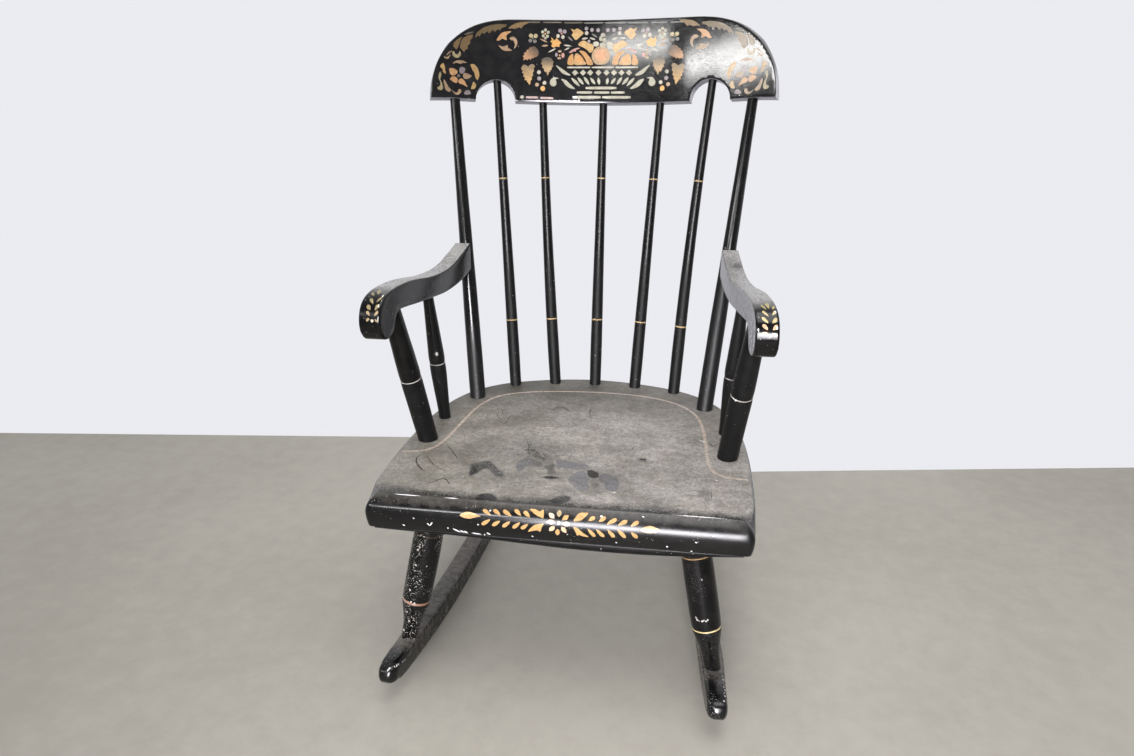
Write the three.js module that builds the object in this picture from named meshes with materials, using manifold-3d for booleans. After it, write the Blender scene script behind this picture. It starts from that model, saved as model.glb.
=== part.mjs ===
// Child-size rocking chair with a plank seat, spindle back, broad top rail and scrolled arms.
// Millimetres, +Z up, the chair faces -Y. Z = 0 is the floor, X = 0 the middle of the chair.
import * as THREE from 'three';
import { mergeVertices } from 'three/addons/utils/BufferGeometryUtils.js';
import Module from 'manifold-3d';

const wasm = await Module();
wasm.setup();

// ---------------------------------------------------------------- driving dimensions
const SEAT_WIDTH = 380;        // width of the straight front edge of the seat
const SEAT_TOP = 214.1;        // height of the seat surface over the floor
const SEAT_THICK = 33;         // thickness of the seat plank
const SEAT_DEPTH = 369.4;      // front edge to rearmost point of the seat
const SEAT_DISH = 3;           // depth of the hollow in the seat
const FRONT_ROLL_RADIUS = 13;  // rounding of the front top edge
const EDGE_RADIUS = 6;         // rounding of the other top edges
const FRONT_EDGE_Y = -196;     // place of the front edge of the seat
const GAP = 0.3;               // clearance between pieces that touch

const CREST_RADIUS = 437;      // bend of the top rail in plan
const CREST_MID_Y = 402;       // rail middle, behind the seat front, at CREST_LOW
const CREST_LOW = 365;         // reference height of the rail over the seat
const CREST_THICK = 13;
const CREST_RAKE = 0.14;       // lean of the rail, mm back per mm up
const NOTCH_X = 134.5;         // middle of each arch cut in the rail's lower edge
const NOTCH_HALF = 24;
const NOTCH_TOP = 389.5;

const SPINDLE_LOW = 15;        // spindle diameters
const SPINDLE_HIGH = 9.8;
const POST_LOW = 20;           // back post diameters
const POST_HIGH = 12.3;

const LEG_TOP = 30.5;          // leg diameters
const LEG_RING = 29.5;
const LEG_FOOT = 17;

const ROCKER_RADIUS = 1151;    // bottom curve of the rockers
const ROCKER_FLAT = 30;        // half length of the middle facet
const ROCKER_HIGH = 20.5;      // depth of a rocker at its ends
const ROCKER_SWELL = 3.5;      // extra depth in the middle
const ROCKER_THICK = 23.5;
const ROCKER_HALF = 236;       // half length of a rocker
const ROCKER_MID_Y = 196;      // lowest point of the curve, behind the seat front
const ROCKER_MID_X = 151.5;
const ROCKER_TOE = 0.064;      // rockers come together towards the back, mm per mm

const ARM_FRONT_WIDTH = 22.5;
const ARM_REAR_WIDTH = 20;
const ARM_TOE = 0.0922;        // arms spread towards the front, mm per mm

// ---------------------------------------------------------------- helpers
const V = (x, y, z) => new THREE.Vector3(x, y, z);

function indexed(points, tris) {
  const g = new THREE.BufferGeometry();
  g.setAttribute('position', new THREE.BufferAttribute(new Float32Array(points.flat()), 3));
  g.setIndex(tris.flat());
  return g;
}

// closed skin over rings with the same number of points, each end closed to its own middle
function ringSolid(rings) {
  const n = rings[0].length;
  const pts = rings.flat();
  const tris = [];
  for (let r = 0; r + 1 < rings.length; r++) {
    for (let i = 0; i < n; i++) {
      const j = (i + 1) % n;
      const a = r * n + i, b = r * n + j, c = (r + 1) * n + j, d = (r + 1) * n + i;
      tris.push([a, b, c], [a, c, d]);
    }
  }
  const mid = ring => ring.reduce((s, p) => [s[0] + p[0] / n, s[1] + p[1] / n, s[2] + p[2] / n], [0, 0, 0]);
  const first = pts.length, last = first + 1;
  pts.push(mid(rings[0]), mid(rings[rings.length - 1]));
  const off = (rings.length - 1) * n;
  for (let i = 0; i < n; i++) {
    const j = (i + 1) % n;
    tris.push([first, j, i], [last, off + i, off + j]);
  }
  return indexed(pts, tris);
}

// flat outline (y, z), anticlockwise seen from +X, thickened along X with eased edges
function prismSolid(outline, sections) {
  const n = outline.length;
  const shift = (inset) => outline.map((p, i) => {
    const a = outline[(i + n - 1) % n], b = outline[(i + 1) % n];
    const d1 = [p[0] - a[0], p[1] - a[1]], d2 = [b[0] - p[0], b[1] - p[1]];
    const l1 = Math.hypot(...d1), l2 = Math.hypot(...d2);
    const n1 = [-d1[1] / l1, d1[0] / l1], n2 = [-d2[1] / l2, d2[0] / l2];
    const s = [n1[0] + n2[0], n1[1] + n2[1]];
    const k = Math.min(1.6, 2 / Math.max(0.2, s[0] * s[0] + s[1] * s[1])) * inset;
    return [p[0] + s[0] * k, p[1] + s[1] * k];
  });
  const pts = [], tris = [];
  for (const [x, inset] of sections) for (const q of shift(inset)) pts.push([x, q[0], q[1]]);
  for (let r = 0; r + 1 < sections.length; r++) {
    for (let i = 0; i < n; i++) {
      const j = (i + 1) % n;
      const a = r * n + i, b = r * n + j, c = (r + 1) * n + j, d = (r + 1) * n + i;
      tris.push([a, b, c], [a, c, d]);
    }
  }
  const off = (sections.length - 1) * n;
  const cap = (base) => THREE.ShapeUtils.triangulateShape(
    pts.slice(base, base + n).map(p => new THREE.Vector2(p[1], p[2])), []);
  for (const [a, b, c] of cap(0)) tris.push([c, b, a]);
  for (const [a, b, c] of cap(off)) tris.push([off + a, off + b, off + c]);
  return indexed(pts, tris);
}

function toSolid(geometry) {
  let g = geometry.clone();
  g.deleteAttribute('normal');
  g.deleteAttribute('uv');
  g = mergeVertices(g, 1e-4);
  const idx = g.index.array, keep = [];
  for (let i = 0; i < idx.length; i += 3) {
    if (idx[i] !== idx[i + 1] && idx[i + 1] !== idx[i + 2] && idx[i] !== idx[i + 2]) keep.push(idx[i], idx[i + 1], idx[i + 2]);
  }
  const solid = new wasm.Manifold(new wasm.Mesh({
    numProp: 3, vertProperties: new Float32Array(g.attributes.position.array), triVerts: new Uint32Array(keep) }));
  return solid;
}

function toGeometry(solid) {
  const m = solid.getMesh();
  const p = [];
  for (let i = 0; i < m.vertProperties.length; i += m.numProp) {
    p.push(m.vertProperties[i], m.vertProperties[i + 1], m.vertProperties[i + 2]);
  }
  let g = new THREE.BufferGeometry();
  g.setAttribute('position', new THREE.BufferAttribute(new Float32Array(p), 3));
  g.setIndex(Array.from(m.triVerts));
  g = mergeVertices(g, 1e-4);
  g.computeVertexNormals();
  return g;
}

function along(a, b) {
  const dir = b.clone().sub(a).normalize();
  return new THREE.Matrix4().compose(a, new THREE.Quaternion().setFromUnitVectors(V(0, 0, 1), dir), V(1, 1, 1));
}

// turned body about the line a-b, profile = [[diameter, distance from a], ...]
function turned(a, b, profile, seg = 16) {
  const rings = profile.map(([dia, s]) => Array.from({ length: seg }, (_, i) => {
    const t = (i + 0.5) / seg * Math.PI * 2;
    return [Math.cos(t) * dia / 2, Math.sin(t) * dia / 2, s];
  }));
  const g = ringSolid(rings);
  g.applyMatrix4(along(a, b));
  return toSolid(g);
}

// round pin from p, length len, along the direction of a-b
function pin(p, dir, from, to, dia, seg = 12) {
  const d = dir.clone().normalize();
  return turned(p.clone().addScaledVector(d, from), p.clone().addScaledVector(d, to), [[dia, 0], [dia, to - from]], seg);
}

function block(x0, x1, y0, y1, z0, z1) {
  const g = new THREE.BoxGeometry(x1 - x0, y1 - y0, z1 - z0);
  g.translate((x0 + x1) / 2, (y0 + y1) / 2, (z0 + z1) / 2);
  return toSolid(g);
}

const mirrorX = (p) => V(-p.x, p.y, p.z);

// ---------------------------------------------------------------- seat plank
const seatHalf = [
  [0, 0], [60, 0], [120, 0], [165, 0], [182, 0], [187, 1.2], [189.6, 4.5], [190.2, 14], [190.8, 30], [192.3, 60], [193.3, 95],
  [193.4, 130], [192.6, 160], [190.8, 190], [187.4, 220], [182.6, 247], [175.5, 271], [166, 292], [152.5, 312],
  [136, 328], [116, 341.5], [92, 352], [64, 360.5], [33, 366.8], [0, SEAT_DEPTH]];
const seatOutline = [...seatHalf, ...seatHalf.slice(1, -1).reverse().map(([x, y]) => [-x, y])];

function seatBody() {
  const n = seatOutline.length, cx = 0, cy = 178;
  const inset = (i, r) => {
    const a = seatOutline[(i + n - 1) % n], b = seatOutline[(i + 1) % n], p = seatOutline[i];
    const t = [b[0] - a[0], b[1] - a[1]], l = Math.hypot(...t);
    const nrm = [-t[1] / l, t[0] / l];
    const c = [cx - p[0], cy - p[1]], cl = Math.hypot(...c);
    const k = r / Math.max(0.35, (nrm[0] * c[0] + nrm[1] * c[1]) / cl) / cl;
    return [p[0] + c[0] * k, p[1] + c[1] * k];
  };
  const blend = (y) => THREE.MathUtils.smoothstep(y, 2, 45);
  const rTop = (y) => THREE.MathUtils.lerp(FRONT_ROLL_RADIUS, EDGE_RADIUS, blend(y));
  const rings = [];
  const ringOf = (f) => rings.push(seatOutline.map((p, i) => f(p, i)));
  // underside, from the middle outwards
  ringOf((p, i) => { const q = inset(i, 4); return [cx + (q[0] - cx) * 0.5, cy + (q[1] - cy) * 0.5, -SEAT_THICK]; });
  ringOf((p, i) => [...inset(i, 4), -SEAT_THICK]);
  ringOf((p, i) => [...inset(i, 1.2), -SEAT_THICK + 1.2]);
  ringOf((p, i) => [p[0], p[1], -SEAT_THICK + 4]);
  for (const a of [0, 22.5, 45, 67.5, 90]) {
    const s = Math.sin(a * Math.PI / 180), c = Math.cos(a * Math.PI / 180);
    ringOf((p, i) => { const r = rTop(p[1]); return [...inset(i, r * (1 - c)), -r * 0.85 * (1 - s)]; });
  }
  for (const [t, f] of [[0.84, 0.06], [0.7, 0.45], [0.5, 0.85], [0.25, 1]]) {
    ringOf((p, i) => {
      const q = inset(i, rTop(p[1]));
      const front = THREE.MathUtils.smoothstep(cy + (q[1] - cy) * t, 20, 90);
      return [cx + (q[0] - cx) * t, cy + (q[1] - cy) * t, -SEAT_DISH * f * front];
    });
  }
  return toSolid(ringSolid(rings));
}

// ---------------------------------------------------------------- strip under the front edge
// low edge of the strip against x
const stripHalf = [[180, -34.9], [150, -37], [121, -39.2], [84, -41.2], [42, -42.6], [0, -43]];
const stripLow = [...stripHalf.map(([x, z]) => [-x, z]), ...stripHalf.slice(0, -1).reverse()];
function stripBody() {
  const top = -SEAT_THICK - GAP;
  const rings = stripLow.map(([x, z]) => {
    const h = top - z, r = Math.min(3, h * 0.45);
    return [[x, 2.6, top], [x, 0.9, top - h * 0.35], [x, 1.6, z + r * 0.6], [x, 4.6, z], [x, 20, z],
      [x, 24, z + r * 0.5], [x, 25, top]];
  });
  return toSolid(ringSolid(rings));
}

// ---------------------------------------------------------------- legs and rockers
const frontLegTop = V(133.4, 47.1, -SEAT_THICK), frontLegFoot = V(161.2, 20.2, -178.6);
const rearLegTop = V(122, 272, -SEAT_THICK), rearLegFoot = V(144.2, 311, -185.4);

const arc = (s) => ROCKER_RADIUS - Math.sqrt(ROCKER_RADIUS ** 2 - s * s);
function rockerOutline(lift = 0) {
  const z0 = arc(ROCKER_FLAT);
  const low = [], high = [];
  for (const s of [30, 58, 86, 114, 142, 170, 198, 222]) low.push([s, arc(s) - z0]);
  const bottom = [...low.slice().reverse().map(([s, z]) => [-s, z]), ...low];
  const deep = (s) => arc(s) - z0 + ROCKER_HIGH + ROCKER_SWELL * (1 - (s / 240) ** 2) + lift;
  const noseLow = arc(228) - z0;
  const nose = [[229, noseLow + 1], [233.4, noseLow + 3.6], [235.6, noseLow + 7.6], [ROCKER_HALF, noseLow + 11.2],
    [234.2, noseLow + 15], [230.2, noseLow + 18]];
  for (const s of [223, 200, 170, 140, 105, 70, 35, 0]) high.push([s, deep(s)]);
  const top = [...high, ...high.slice(0, -1).reverse().map(([s, z]) => [-s, z])];
  // anticlockwise seen from +X with y to the right
  return [...bottom, ...nose, ...top, ...nose.slice().reverse().map(([s, z]) => [-s, z])];
}
const easeX = (half, r) => [[-half, r], [-half + r * 0.3, r * 0.3], [-half + r, 0], [half - r, 0], [half - r * 0.3, r * 0.3], [half, r]];

function rockerFrame(side) {
  return new THREE.Matrix4().makeTranslation(side * ROCKER_MID_X, ROCKER_MID_Y, -SEAT_TOP)
    .multiply(new THREE.Matrix4().makeRotationZ(side * Math.atan(ROCKER_TOE)));
}
function rockerBody(side) {
  const g = prismSolid(rockerOutline(), easeX(ROCKER_THICK / 2, 3.5));
  // the outer face draws in towards both ends
  const p = g.attributes.position;
  for (let i = 0; i < p.count; i++) {
    if (p.getX(i) * side > 0) {
      const t = THREE.MathUtils.smoothstep(Math.abs(p.getY(i)), 140, ROCKER_HALF);
      p.setX(i, p.getX(i) * (1 - 0.42 * t));
    }
  }
  g.applyMatrix4(rockerFrame(side));
  return toSolid(g);
}
function rockerCutter(side) {
  const g = prismSolid(rockerOutline(GAP), [[-30, 0], [30, 0]]);
  g.applyMatrix4(rockerFrame(side));
  return toSolid(g);
}

function legParts(side, top, foot, ringAt) {
  const a = side > 0 ? top : mirrorX(top), b = side > 0 ? foot : mirrorX(foot);
  const dir = b.clone().sub(a), len = dir.length();
  dir.normalize();
  const r = ringAt * len;
  let body = turned(a.clone().addScaledVector(dir, -12), b.clone().addScaledVector(dir, 8), [
    [LEG_TOP, 0], [LEG_TOP, 14], [LEG_TOP + 0.6, 12 + r * 0.55], [LEG_RING + 0.4, 12 + r - 2], [LEG_RING - 0.8, 12 + r],
    [LEG_RING, 12 + r + 2], [25.6, 12 + r + 11], [20.6, 12 + r + 22], [18, 12 + r + 33], [LEG_FOOT, len + 12], [LEG_FOOT, len + 20]], 20);
  body = body.subtract(block(-400, 400, -200, 600, -SEAT_THICK - GAP, 60));
  body = body.subtract(rockerCutter(side));
  body = body.add(pin(a, dir, -17, 12, 17)).add(pin(b, dir, -12, 11, 11));
  return { body, seatHole: pin(a, dir, -17.8, 12, 17 + 2 * GAP), footHole: pin(b, dir, -12, 11.8, 11 + 2 * GAP) };
}

// ---------------------------------------------------------------- top rail
const crestTop = [[0, 458.2], [55, 458.8], [94, 459], [116, 459.2], [127, 458.6], [139, 457.4], [150, 455], [161, 451.3], [173.5, 444.6],
  [185, 435.2], [190.5, 428.8], [196, 421], [200.6, 412.6], [204.5, 403.5], [207.3, 390.5], [208.6, 378]];
function crestTopAt(x) {
  const a = Math.abs(x);
  for (let i = 0; i + 1 < crestTop.length; i++) {
    const [x0, z0] = crestTop[i], [x1, z1] = crestTop[i + 1];
    if (a <= x1) return z0 + (z1 - z0) * (a - x0) / (x1 - x0);
  }
  return crestTop[crestTop.length - 1][1];
}
function crestLowAt(x) {
  const a = Math.abs(x);
  const base = 361.8 + 6.6 * Math.min(1, (a / 190) ** 2);
  const u = (a - NOTCH_X) / NOTCH_HALF;
  return Math.abs(u) < 1 ? base + (NOTCH_TOP - base) * Math.sqrt(1 - u * u) : base;
}
const crestY = (x, z) => CREST_MID_Y - (CREST_RADIUS - Math.sqrt(CREST_RADIUS ** 2 - x * x)) + CREST_RAKE * (z - CREST_LOW);
function crestBody() {
  const half = new Set([0, 20, 40, 60, 80, 98, 116, 127, 139, 150, 161, 173.5, 185, 190.5, 196, 200.6, 204.5, 207.3, 208.6]);
  for (const u of [-1, -0.985, -0.94, -0.86, -0.72, -0.5, -0.25, 0, 0.25, 0.5, 0.72, 0.86, 0.94, 0.985, 1]) half.add(NOTCH_X + u * NOTCH_HALF);
  let xs = [...half].sort((p, q) => p - q).filter((v, i, s) => i === 0 || v - s[i - 1] > 0.3);
  xs = [...xs.slice(1).reverse().map(v => -v), ...xs];
  const rings = xs.map((x) => {
    const lo = crestLowAt(x), hi = Math.max(crestTopAt(x), lo + 6);
    const end = Math.abs(x) > 208 ? 2.5 : Math.abs(x) > 207 ? 0.8 : 0;
    const t = CREST_THICK / 2 - end, r = Math.min(2.6, t - 1);
    const phi = Math.asin(x / CREST_RADIUS);
    const nx = Math.sin(phi), ny = -Math.cos(phi);
    const sect = [[t, lo + r], [t - r * 0.3, lo + r * 0.3], [t - r, lo], [-t + r, lo], [-t + r * 0.3, lo + r * 0.3], [-t, lo + r],
      [-t, hi - r], [-t + r * 0.3, hi - r * 0.3], [-t + r, hi], [t - r, hi], [t - r * 0.3, hi - r * 0.3], [t, hi - r]];
    return sect.map(([d, z]) => [x - nx * d, crestY(x, z) + ny * d, z]);
  });
  return toSolid(ringSolid(rings));
}

// ---------------------------------------------------------------- back posts and spindles
const postLow = V(146.7, 281.2, 0);
const postHigh = V(180, crestY(180, 368), 368);
const spindleSeats = [[-107.2, 333.6], [-54.4, 347.4], [0, 351.5], [54.4, 347.4], [107.2, 333.6]];
const spindleTops = [[-135.6, 389.5], [-72.8, 362.8], [0, 361.8], [72.8, 362.8], [135.6, 389.5]];

function uprightParts(a, b, dias, tenonLow, tenonHigh, lowDepth, highDepth, topCut) {
  const dir = b.clone().sub(a), len = dir.length();
  dir.normalize();
  let body = turned(a.clone().addScaledVector(dir, -6), b.clone().addScaledVector(dir, 6),
    [[dias[0][0], 0], ...dias.map(([d, f]) => [d, 6 + f * len]), [dias[dias.length - 1][0], len + 12]]);
  body = body.subtract(block(-400, 400, -200, 800, -60, GAP));
  body = body.subtract(block(-400, 400, -200, 800, topCut, topCut + 120));
  body = body.add(pin(a, dir, -lowDepth, 6, tenonLow)).add(pin(b, dir, -6, highDepth, tenonHigh));
  return {
    body, dir,
    low: pin(a, dir, -lowDepth - 0.8, 10, tenonLow + 2 * GAP),
    high: pin(b, dir, -10, highDepth + 0.8, tenonHigh + 2 * GAP),
  };
}

// ---------------------------------------------------------------- arms
const armOutline = [
  // upper edge, front to rear
  [57, 151.5], [55.6, 160], [57.4, 169.5], [62.4, 178], [70.5, 183.8], [81, 187], [94, 188.6], [110, 188.8], [130, 187.9], [152, 185.3],
  [180, 181.2], [205, 179.2], [231, 178.9], [250, 180.8], [268, 184.4], [284, 188.8], [300, 193.2], [318, 197.2],
  // lower edge, rear to front
  [311.5, 162.5], [300, 159.4], [278, 155.6], [251, 153.2], [220, 152.9], [186, 155.6], [150, 158.9], [124, 161.8], [108, 163.2], [99, 162.6],
  [92, 157.6], [88.2, 150.4], [84.4, 145.2], [78, 142], [70, 141.2], [62.6, 144.2]].map(p => p.slice());
const armMidX = (y) => 165.7 + ARM_TOE * (311.6 - y);

function armFrame(g, side) {
  const p = g.attributes.position;
  for (let i = 0; i < p.count; i++) {
    const y = p.getY(i);
    const k = THREE.MathUtils.lerp(ARM_FRONT_WIDTH, ARM_REAR_WIDTH, THREE.MathUtils.clamp((y - 60) / 250, 0, 1)) / ARM_FRONT_WIDTH;
    p.setX(i, side * armMidX(y) + p.getX(i) * k);
  }
  return g;
}
function armBody(side) {
  // outline runs clockwise seen from +X, so it is turned round
  const g = prismSolid(armOutline.slice().reverse(), easeX(ARM_FRONT_WIDTH / 2, 2.4));
  return toSolid(armFrame(g, side));
}
function armCutter(side) {
  const n = armOutline.length;
  const wide = prismSolid(armOutline.slice().reverse(), [[-40, -GAP], [40, -GAP]]);
  return toSolid(armFrame(wide, side));
}

// ---------------------------------------------------------------- assembly
const pieces = new Map();
const colours = { black: 0x16161a, seat: 0x3a3a3b };

let seat = seatBody();
const strip = stripBody();
let crest = crestBody();

for (const side of [-1, 1]) {
  const tag = side < 0 ? 'left' : 'right';
  let rocker = rockerBody(side);
  for (const [name, top, foot, at] of [['front_leg', frontLegTop, frontLegFoot, 0.715], ['rear_leg', rearLegTop, rearLegFoot, 0.715]]) {
    const leg = legParts(side, top, foot, at);
    pieces.set(`${name}_${tag}`, leg.body);
    seat = seat.subtract(leg.seatHole);
    rocker = rocker.subtract(leg.footHole);
  }
  pieces.set(`rocker_${tag}`, rocker);

  // back post
  const pa = side > 0 ? postLow : mirrorX(postLow), pb = side > 0 ? postHigh : mirrorX(postHigh);
  const post = uprightParts(pa, pb, [[POST_LOW, 0], [POST_LOW, 0.03], [19.4, 0.25], [17, 0.5], [14.6, 0.75], [POST_HIGH, 1]],
    13, 7, 20, 12, crestLowAt(172) - GAP);
  seat = seat.subtract(post.low);
  crest = crest.subtract(post.high);

  // arm, coped against the post and pinned into it
  let arm = armBody(side);
  const endY = 303 + 5.2;
  arm = arm.subtract(block(-400, 400, endY + 1.5, 500, 100, 260));
  const clear = turned(pa, pb, [[POST_LOW + 2 * GAP, 0], [19.4 + 2 * GAP, 0.25 * 390], [17 + 2 * GAP, 0.5 * 390], [14.6 + 2 * GAP, 0.75 * 390], [13, 390]]);
  arm = arm.subtract(clear);
  const pinDir = V(-side * ARM_TOE, 1, 0).normalize();
  const pinFrom = V(side * armMidX(290), 290, 177.5);
  arm = arm.add(pin(pinFrom, pinDir, 0, 26.5, 7.4));
  const postBody = post.body.subtract(pin(pinFrom, pinDir, 0, 27.3, 8));
  pieces.set(`back_post_${tag}`, postBody);

  // arm posts
  for (const [name, low, high, dias, tl, th] of [
    ['front_arm_post', V(169.1, 144, 0), V(185, 103.5, 163),
      [[22.4, 0], [22.6, 0.1], [23.6, 0.46], [22.8, 0.5], [23.4, 0.54], [21.4, 0.78], [19.4, 1]], 13, 10],
    ['rear_arm_post', V(168.7, 207.5, 0), V(176.2, 195, 155.2),
      [[14, 0], [14.4, 0.08], [18.8, 0.43], [17.8, 0.47], [18.8, 0.51], [15.6, 0.75], [12.4, 1]], 9.5, 8]]) {
    const a = side > 0 ? low : mirrorX(low), b = side > 0 ? high : mirrorX(high);
    const dir = b.clone().sub(a), len = dir.length();
    dir.normalize();
    let body = turned(a.clone().addScaledVector(dir, -8), b.clone().addScaledVector(dir, 8),
      [[dias[0][0], 0], ...dias.map(([d, f]) => [d, 8 + f * len]), [dias[dias.length - 1][0], len + 16]]);
    body = body.subtract(block(-400, 400, -200, 600, -60, GAP));
    body = body.subtract(armCutter(side));
    // keep only the part under the arm
    body = body.subtract(block(-400, 400, -200, 600, 166, 300));
    body = body.add(pin(a, dir, -20, 4, tl)).add(pin(b, dir, -7, 11, th));
    pieces.set(`${name}_${tag}`, body);
    seat = seat.subtract(pin(a, dir, -20.8, 10, tl + 2 * GAP));
    arm = arm.subtract(pin(b, dir, -14, 11.8, th + 2 * GAP));
  }
  pieces.set(`arm_${tag}`, arm);
}

spindleSeats.forEach(([x, y], i) => {
  const [tx, tz] = spindleTops[i];
  const a = V(x, y, 0), b = V(tx, crestY(tx, tz), tz);
  const s = uprightParts(a, b, [[SPINDLE_LOW, 0], [SPINDLE_LOW + 0.3, 0.12], [14.4, 0.3], [12.6, 0.55], [10.9, 0.8], [SPINDLE_HIGH, 1]],
    9.5, 6.4, 18, 15, Math.min(crestLowAt(Math.abs(tx) - 6), crestLowAt(tx), crestLowAt(Math.abs(tx) + 6)) - GAP);
  pieces.set(`spindle_${i + 1}`, s.body);
  seat = seat.subtract(s.low);
  crest = crest.subtract(s.high);
});

pieces.set('seat_plank', seat);
pieces.set('front_roll_strip', strip);
pieces.set('crest_rail', crest);

const chair = new THREE.Group();
chair.name = 'child_rocking_chair';
chair.position.set(0, FRONT_EDGE_Y, SEAT_TOP);
const order = ['seat_plank', 'front_roll_strip', 'crest_rail', 'back_post_left', 'back_post_right',
  'spindle_1', 'spindle_2', 'spindle_3', 'spindle_4', 'spindle_5', 'arm_left', 'arm_right',
  'front_arm_post_left', 'front_arm_post_right', 'rear_arm_post_left', 'rear_arm_post_right',
  'front_leg_left', 'front_leg_right', 'rear_leg_left', 'rear_leg_right', 'rocker_left', 'rocker_right'];
for (const name of order) {
  const material = new THREE.MeshStandardMaterial({ color: name === 'seat_plank' ? colours.seat : colours.black, roughness: 0.45, metalness: 0 });
  material.name = name + '_paint';
  const mesh = new THREE.Mesh(toGeometry(pieces.get(name)), material);
  mesh.name = name;
  chair.add(mesh);
}

export default chair;
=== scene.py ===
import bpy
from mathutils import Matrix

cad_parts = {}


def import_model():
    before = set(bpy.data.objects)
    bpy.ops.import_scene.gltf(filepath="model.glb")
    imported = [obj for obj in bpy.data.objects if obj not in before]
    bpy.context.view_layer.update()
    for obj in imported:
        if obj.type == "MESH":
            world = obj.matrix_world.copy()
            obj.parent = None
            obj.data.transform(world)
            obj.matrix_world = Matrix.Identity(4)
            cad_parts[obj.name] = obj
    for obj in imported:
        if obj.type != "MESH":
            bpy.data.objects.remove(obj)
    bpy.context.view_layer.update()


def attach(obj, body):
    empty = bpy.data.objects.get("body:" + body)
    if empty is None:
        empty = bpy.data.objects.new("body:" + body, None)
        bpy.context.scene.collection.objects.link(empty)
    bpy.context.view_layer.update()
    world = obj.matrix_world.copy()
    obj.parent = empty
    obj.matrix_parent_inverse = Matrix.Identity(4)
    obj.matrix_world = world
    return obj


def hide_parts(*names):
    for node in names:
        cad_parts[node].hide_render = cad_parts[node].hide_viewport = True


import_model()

import math
import bpy
import numpy as np
from mathutils import Matrix, Vector, noise
from mathutils.geometry import delaunay_2d_cdt

# Sizes in mm in a design frame: x to the right, y back from the seat's front edge, z up from the seat surface.
FRONT_Y = -196.0
SEAT_Z = 214.1
rng = np.random.default_rng(71)


def world(p):
    p = np.asarray(p, float).reshape(-1, 3)
    return (p + np.array([0.0, FRONT_Y, SEAT_Z])) / 1000.0


# ------------------------------------------------------------------ mesh building
class Body:
    """Collects points, faces, a paint colour per face corner and a material index per face."""

    def __init__(self):
        self.v, self.f, self.c, self.m, self.mask = [], [], [], [], []
        self.n = 0

    def add(self, verts, faces, paint=None, mask=None):
        verts = np.asarray(verts, float).reshape(-1, 3)
        base = self.n
        self.v.append(verts)
        self.n += len(verts)
        self.mask.append(np.zeros(len(verts)) if mask is None else np.asarray(mask, float))
        for i, f in enumerate(faces):
            self.f.append([base + k for k in f])
            if paint is None:
                self.c.append([(0, 0, 0, 0)] * len(f))
            else:
                p = paint[i]
                self.c.append(p if isinstance(p, list) else [p] * len(f))
        return base

    def merged(self, tol=2e-3):
        v = np.concatenate(self.v)
        mask = np.concatenate(self.mask)
        key = np.round(v / tol).astype(np.int64)
        _, first, inv = np.unique(key, axis=0, return_index=True, return_inverse=True)
        inv = inv.reshape(-1)
        faces, cols = [], []
        seen = set()
        for f, c in zip(self.f, self.c):
            g, gc = [], []
            for k, col in zip(f, c):
                i = int(inv[k])
                if not g or (g[-1] != i):
                    g.append(i)
                    gc.append(col)
            if len(g) > 1 and g[0] == g[-1]:
                g.pop()
                gc.pop()
            if len(set(g)) < 3 or len(set(g)) != len(g):
                continue
            s = tuple(sorted(g))
            if s in seen:
                continue
            seen.add(s)
            faces.append(g)
            cols.append(gc)
        v, mask = v[first], mask[first]
        used = np.unique([i for g in faces for i in g])
        new = np.full(len(v), -1)
        new[used] = np.arange(len(used))
        return v[used], [[int(new[i]) for i in g] for g in faces], cols, mask[used]


def build(name, body, node, material, sharp=40.0):
    v, faces, cols, mask = body.merged()
    me = bpy.data.meshes.new(name)
    me.from_pydata(world(v).tolist(), [], faces)
    me.update()
    at = me.color_attributes.new("paint", "FLOAT_COLOR", "CORNER")
    flat = np.array([x for c in cols for q in c for x in q], np.float32)
    at.data.foreach_set("color", flat)
    wa = me.attributes.new("mark", "FLOAT", "POINT")
    wa.data.foreach_set("value", mask.astype(np.float32))
    me.shade_smooth()
    me.set_sharp_from_angle(angle=math.radians(sharp))
    me.validate()
    ob = bpy.data.objects.new(name, me)
    bpy.context.scene.collection.objects.link(ob)
    me.materials.append(material)
    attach(ob, "root")
    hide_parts(node)
    return ob


def stitch(body, ring_a, ring_b, closed=True, paint=None):
    """Quads between two rows of points with the same count; outside is to the right going from a to b along the row."""
    a = np.asarray(ring_a, float)
    b = np.asarray(ring_b, float)
    n = len(a)
    v = np.concatenate([a, b])
    faces = []
    for i in range(n if closed else n - 1):
        j = (i + 1) % n
        faces.append([i, j, n + j, n + i])
    body.add(v, faces, None if paint is None else [paint] * len(faces))


def rings_body(body, rings, cap=True, paints=None):
    for k in range(len(rings) - 1):
        stitch(body, rings[k], rings[k + 1], True, None if paints is None else paints[k])
    if cap:
        for ring, flip in ((rings[0], True), (rings[-1], False)):
            r = np.asarray(ring, float)
            c = r.mean(0)
            n = len(r)
            f = [[n, (i + 1) % n, i] if flip else [n, i, (i + 1) % n] for i in range(n)]
            body.add(np.vstack([r, c]), f)


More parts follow.
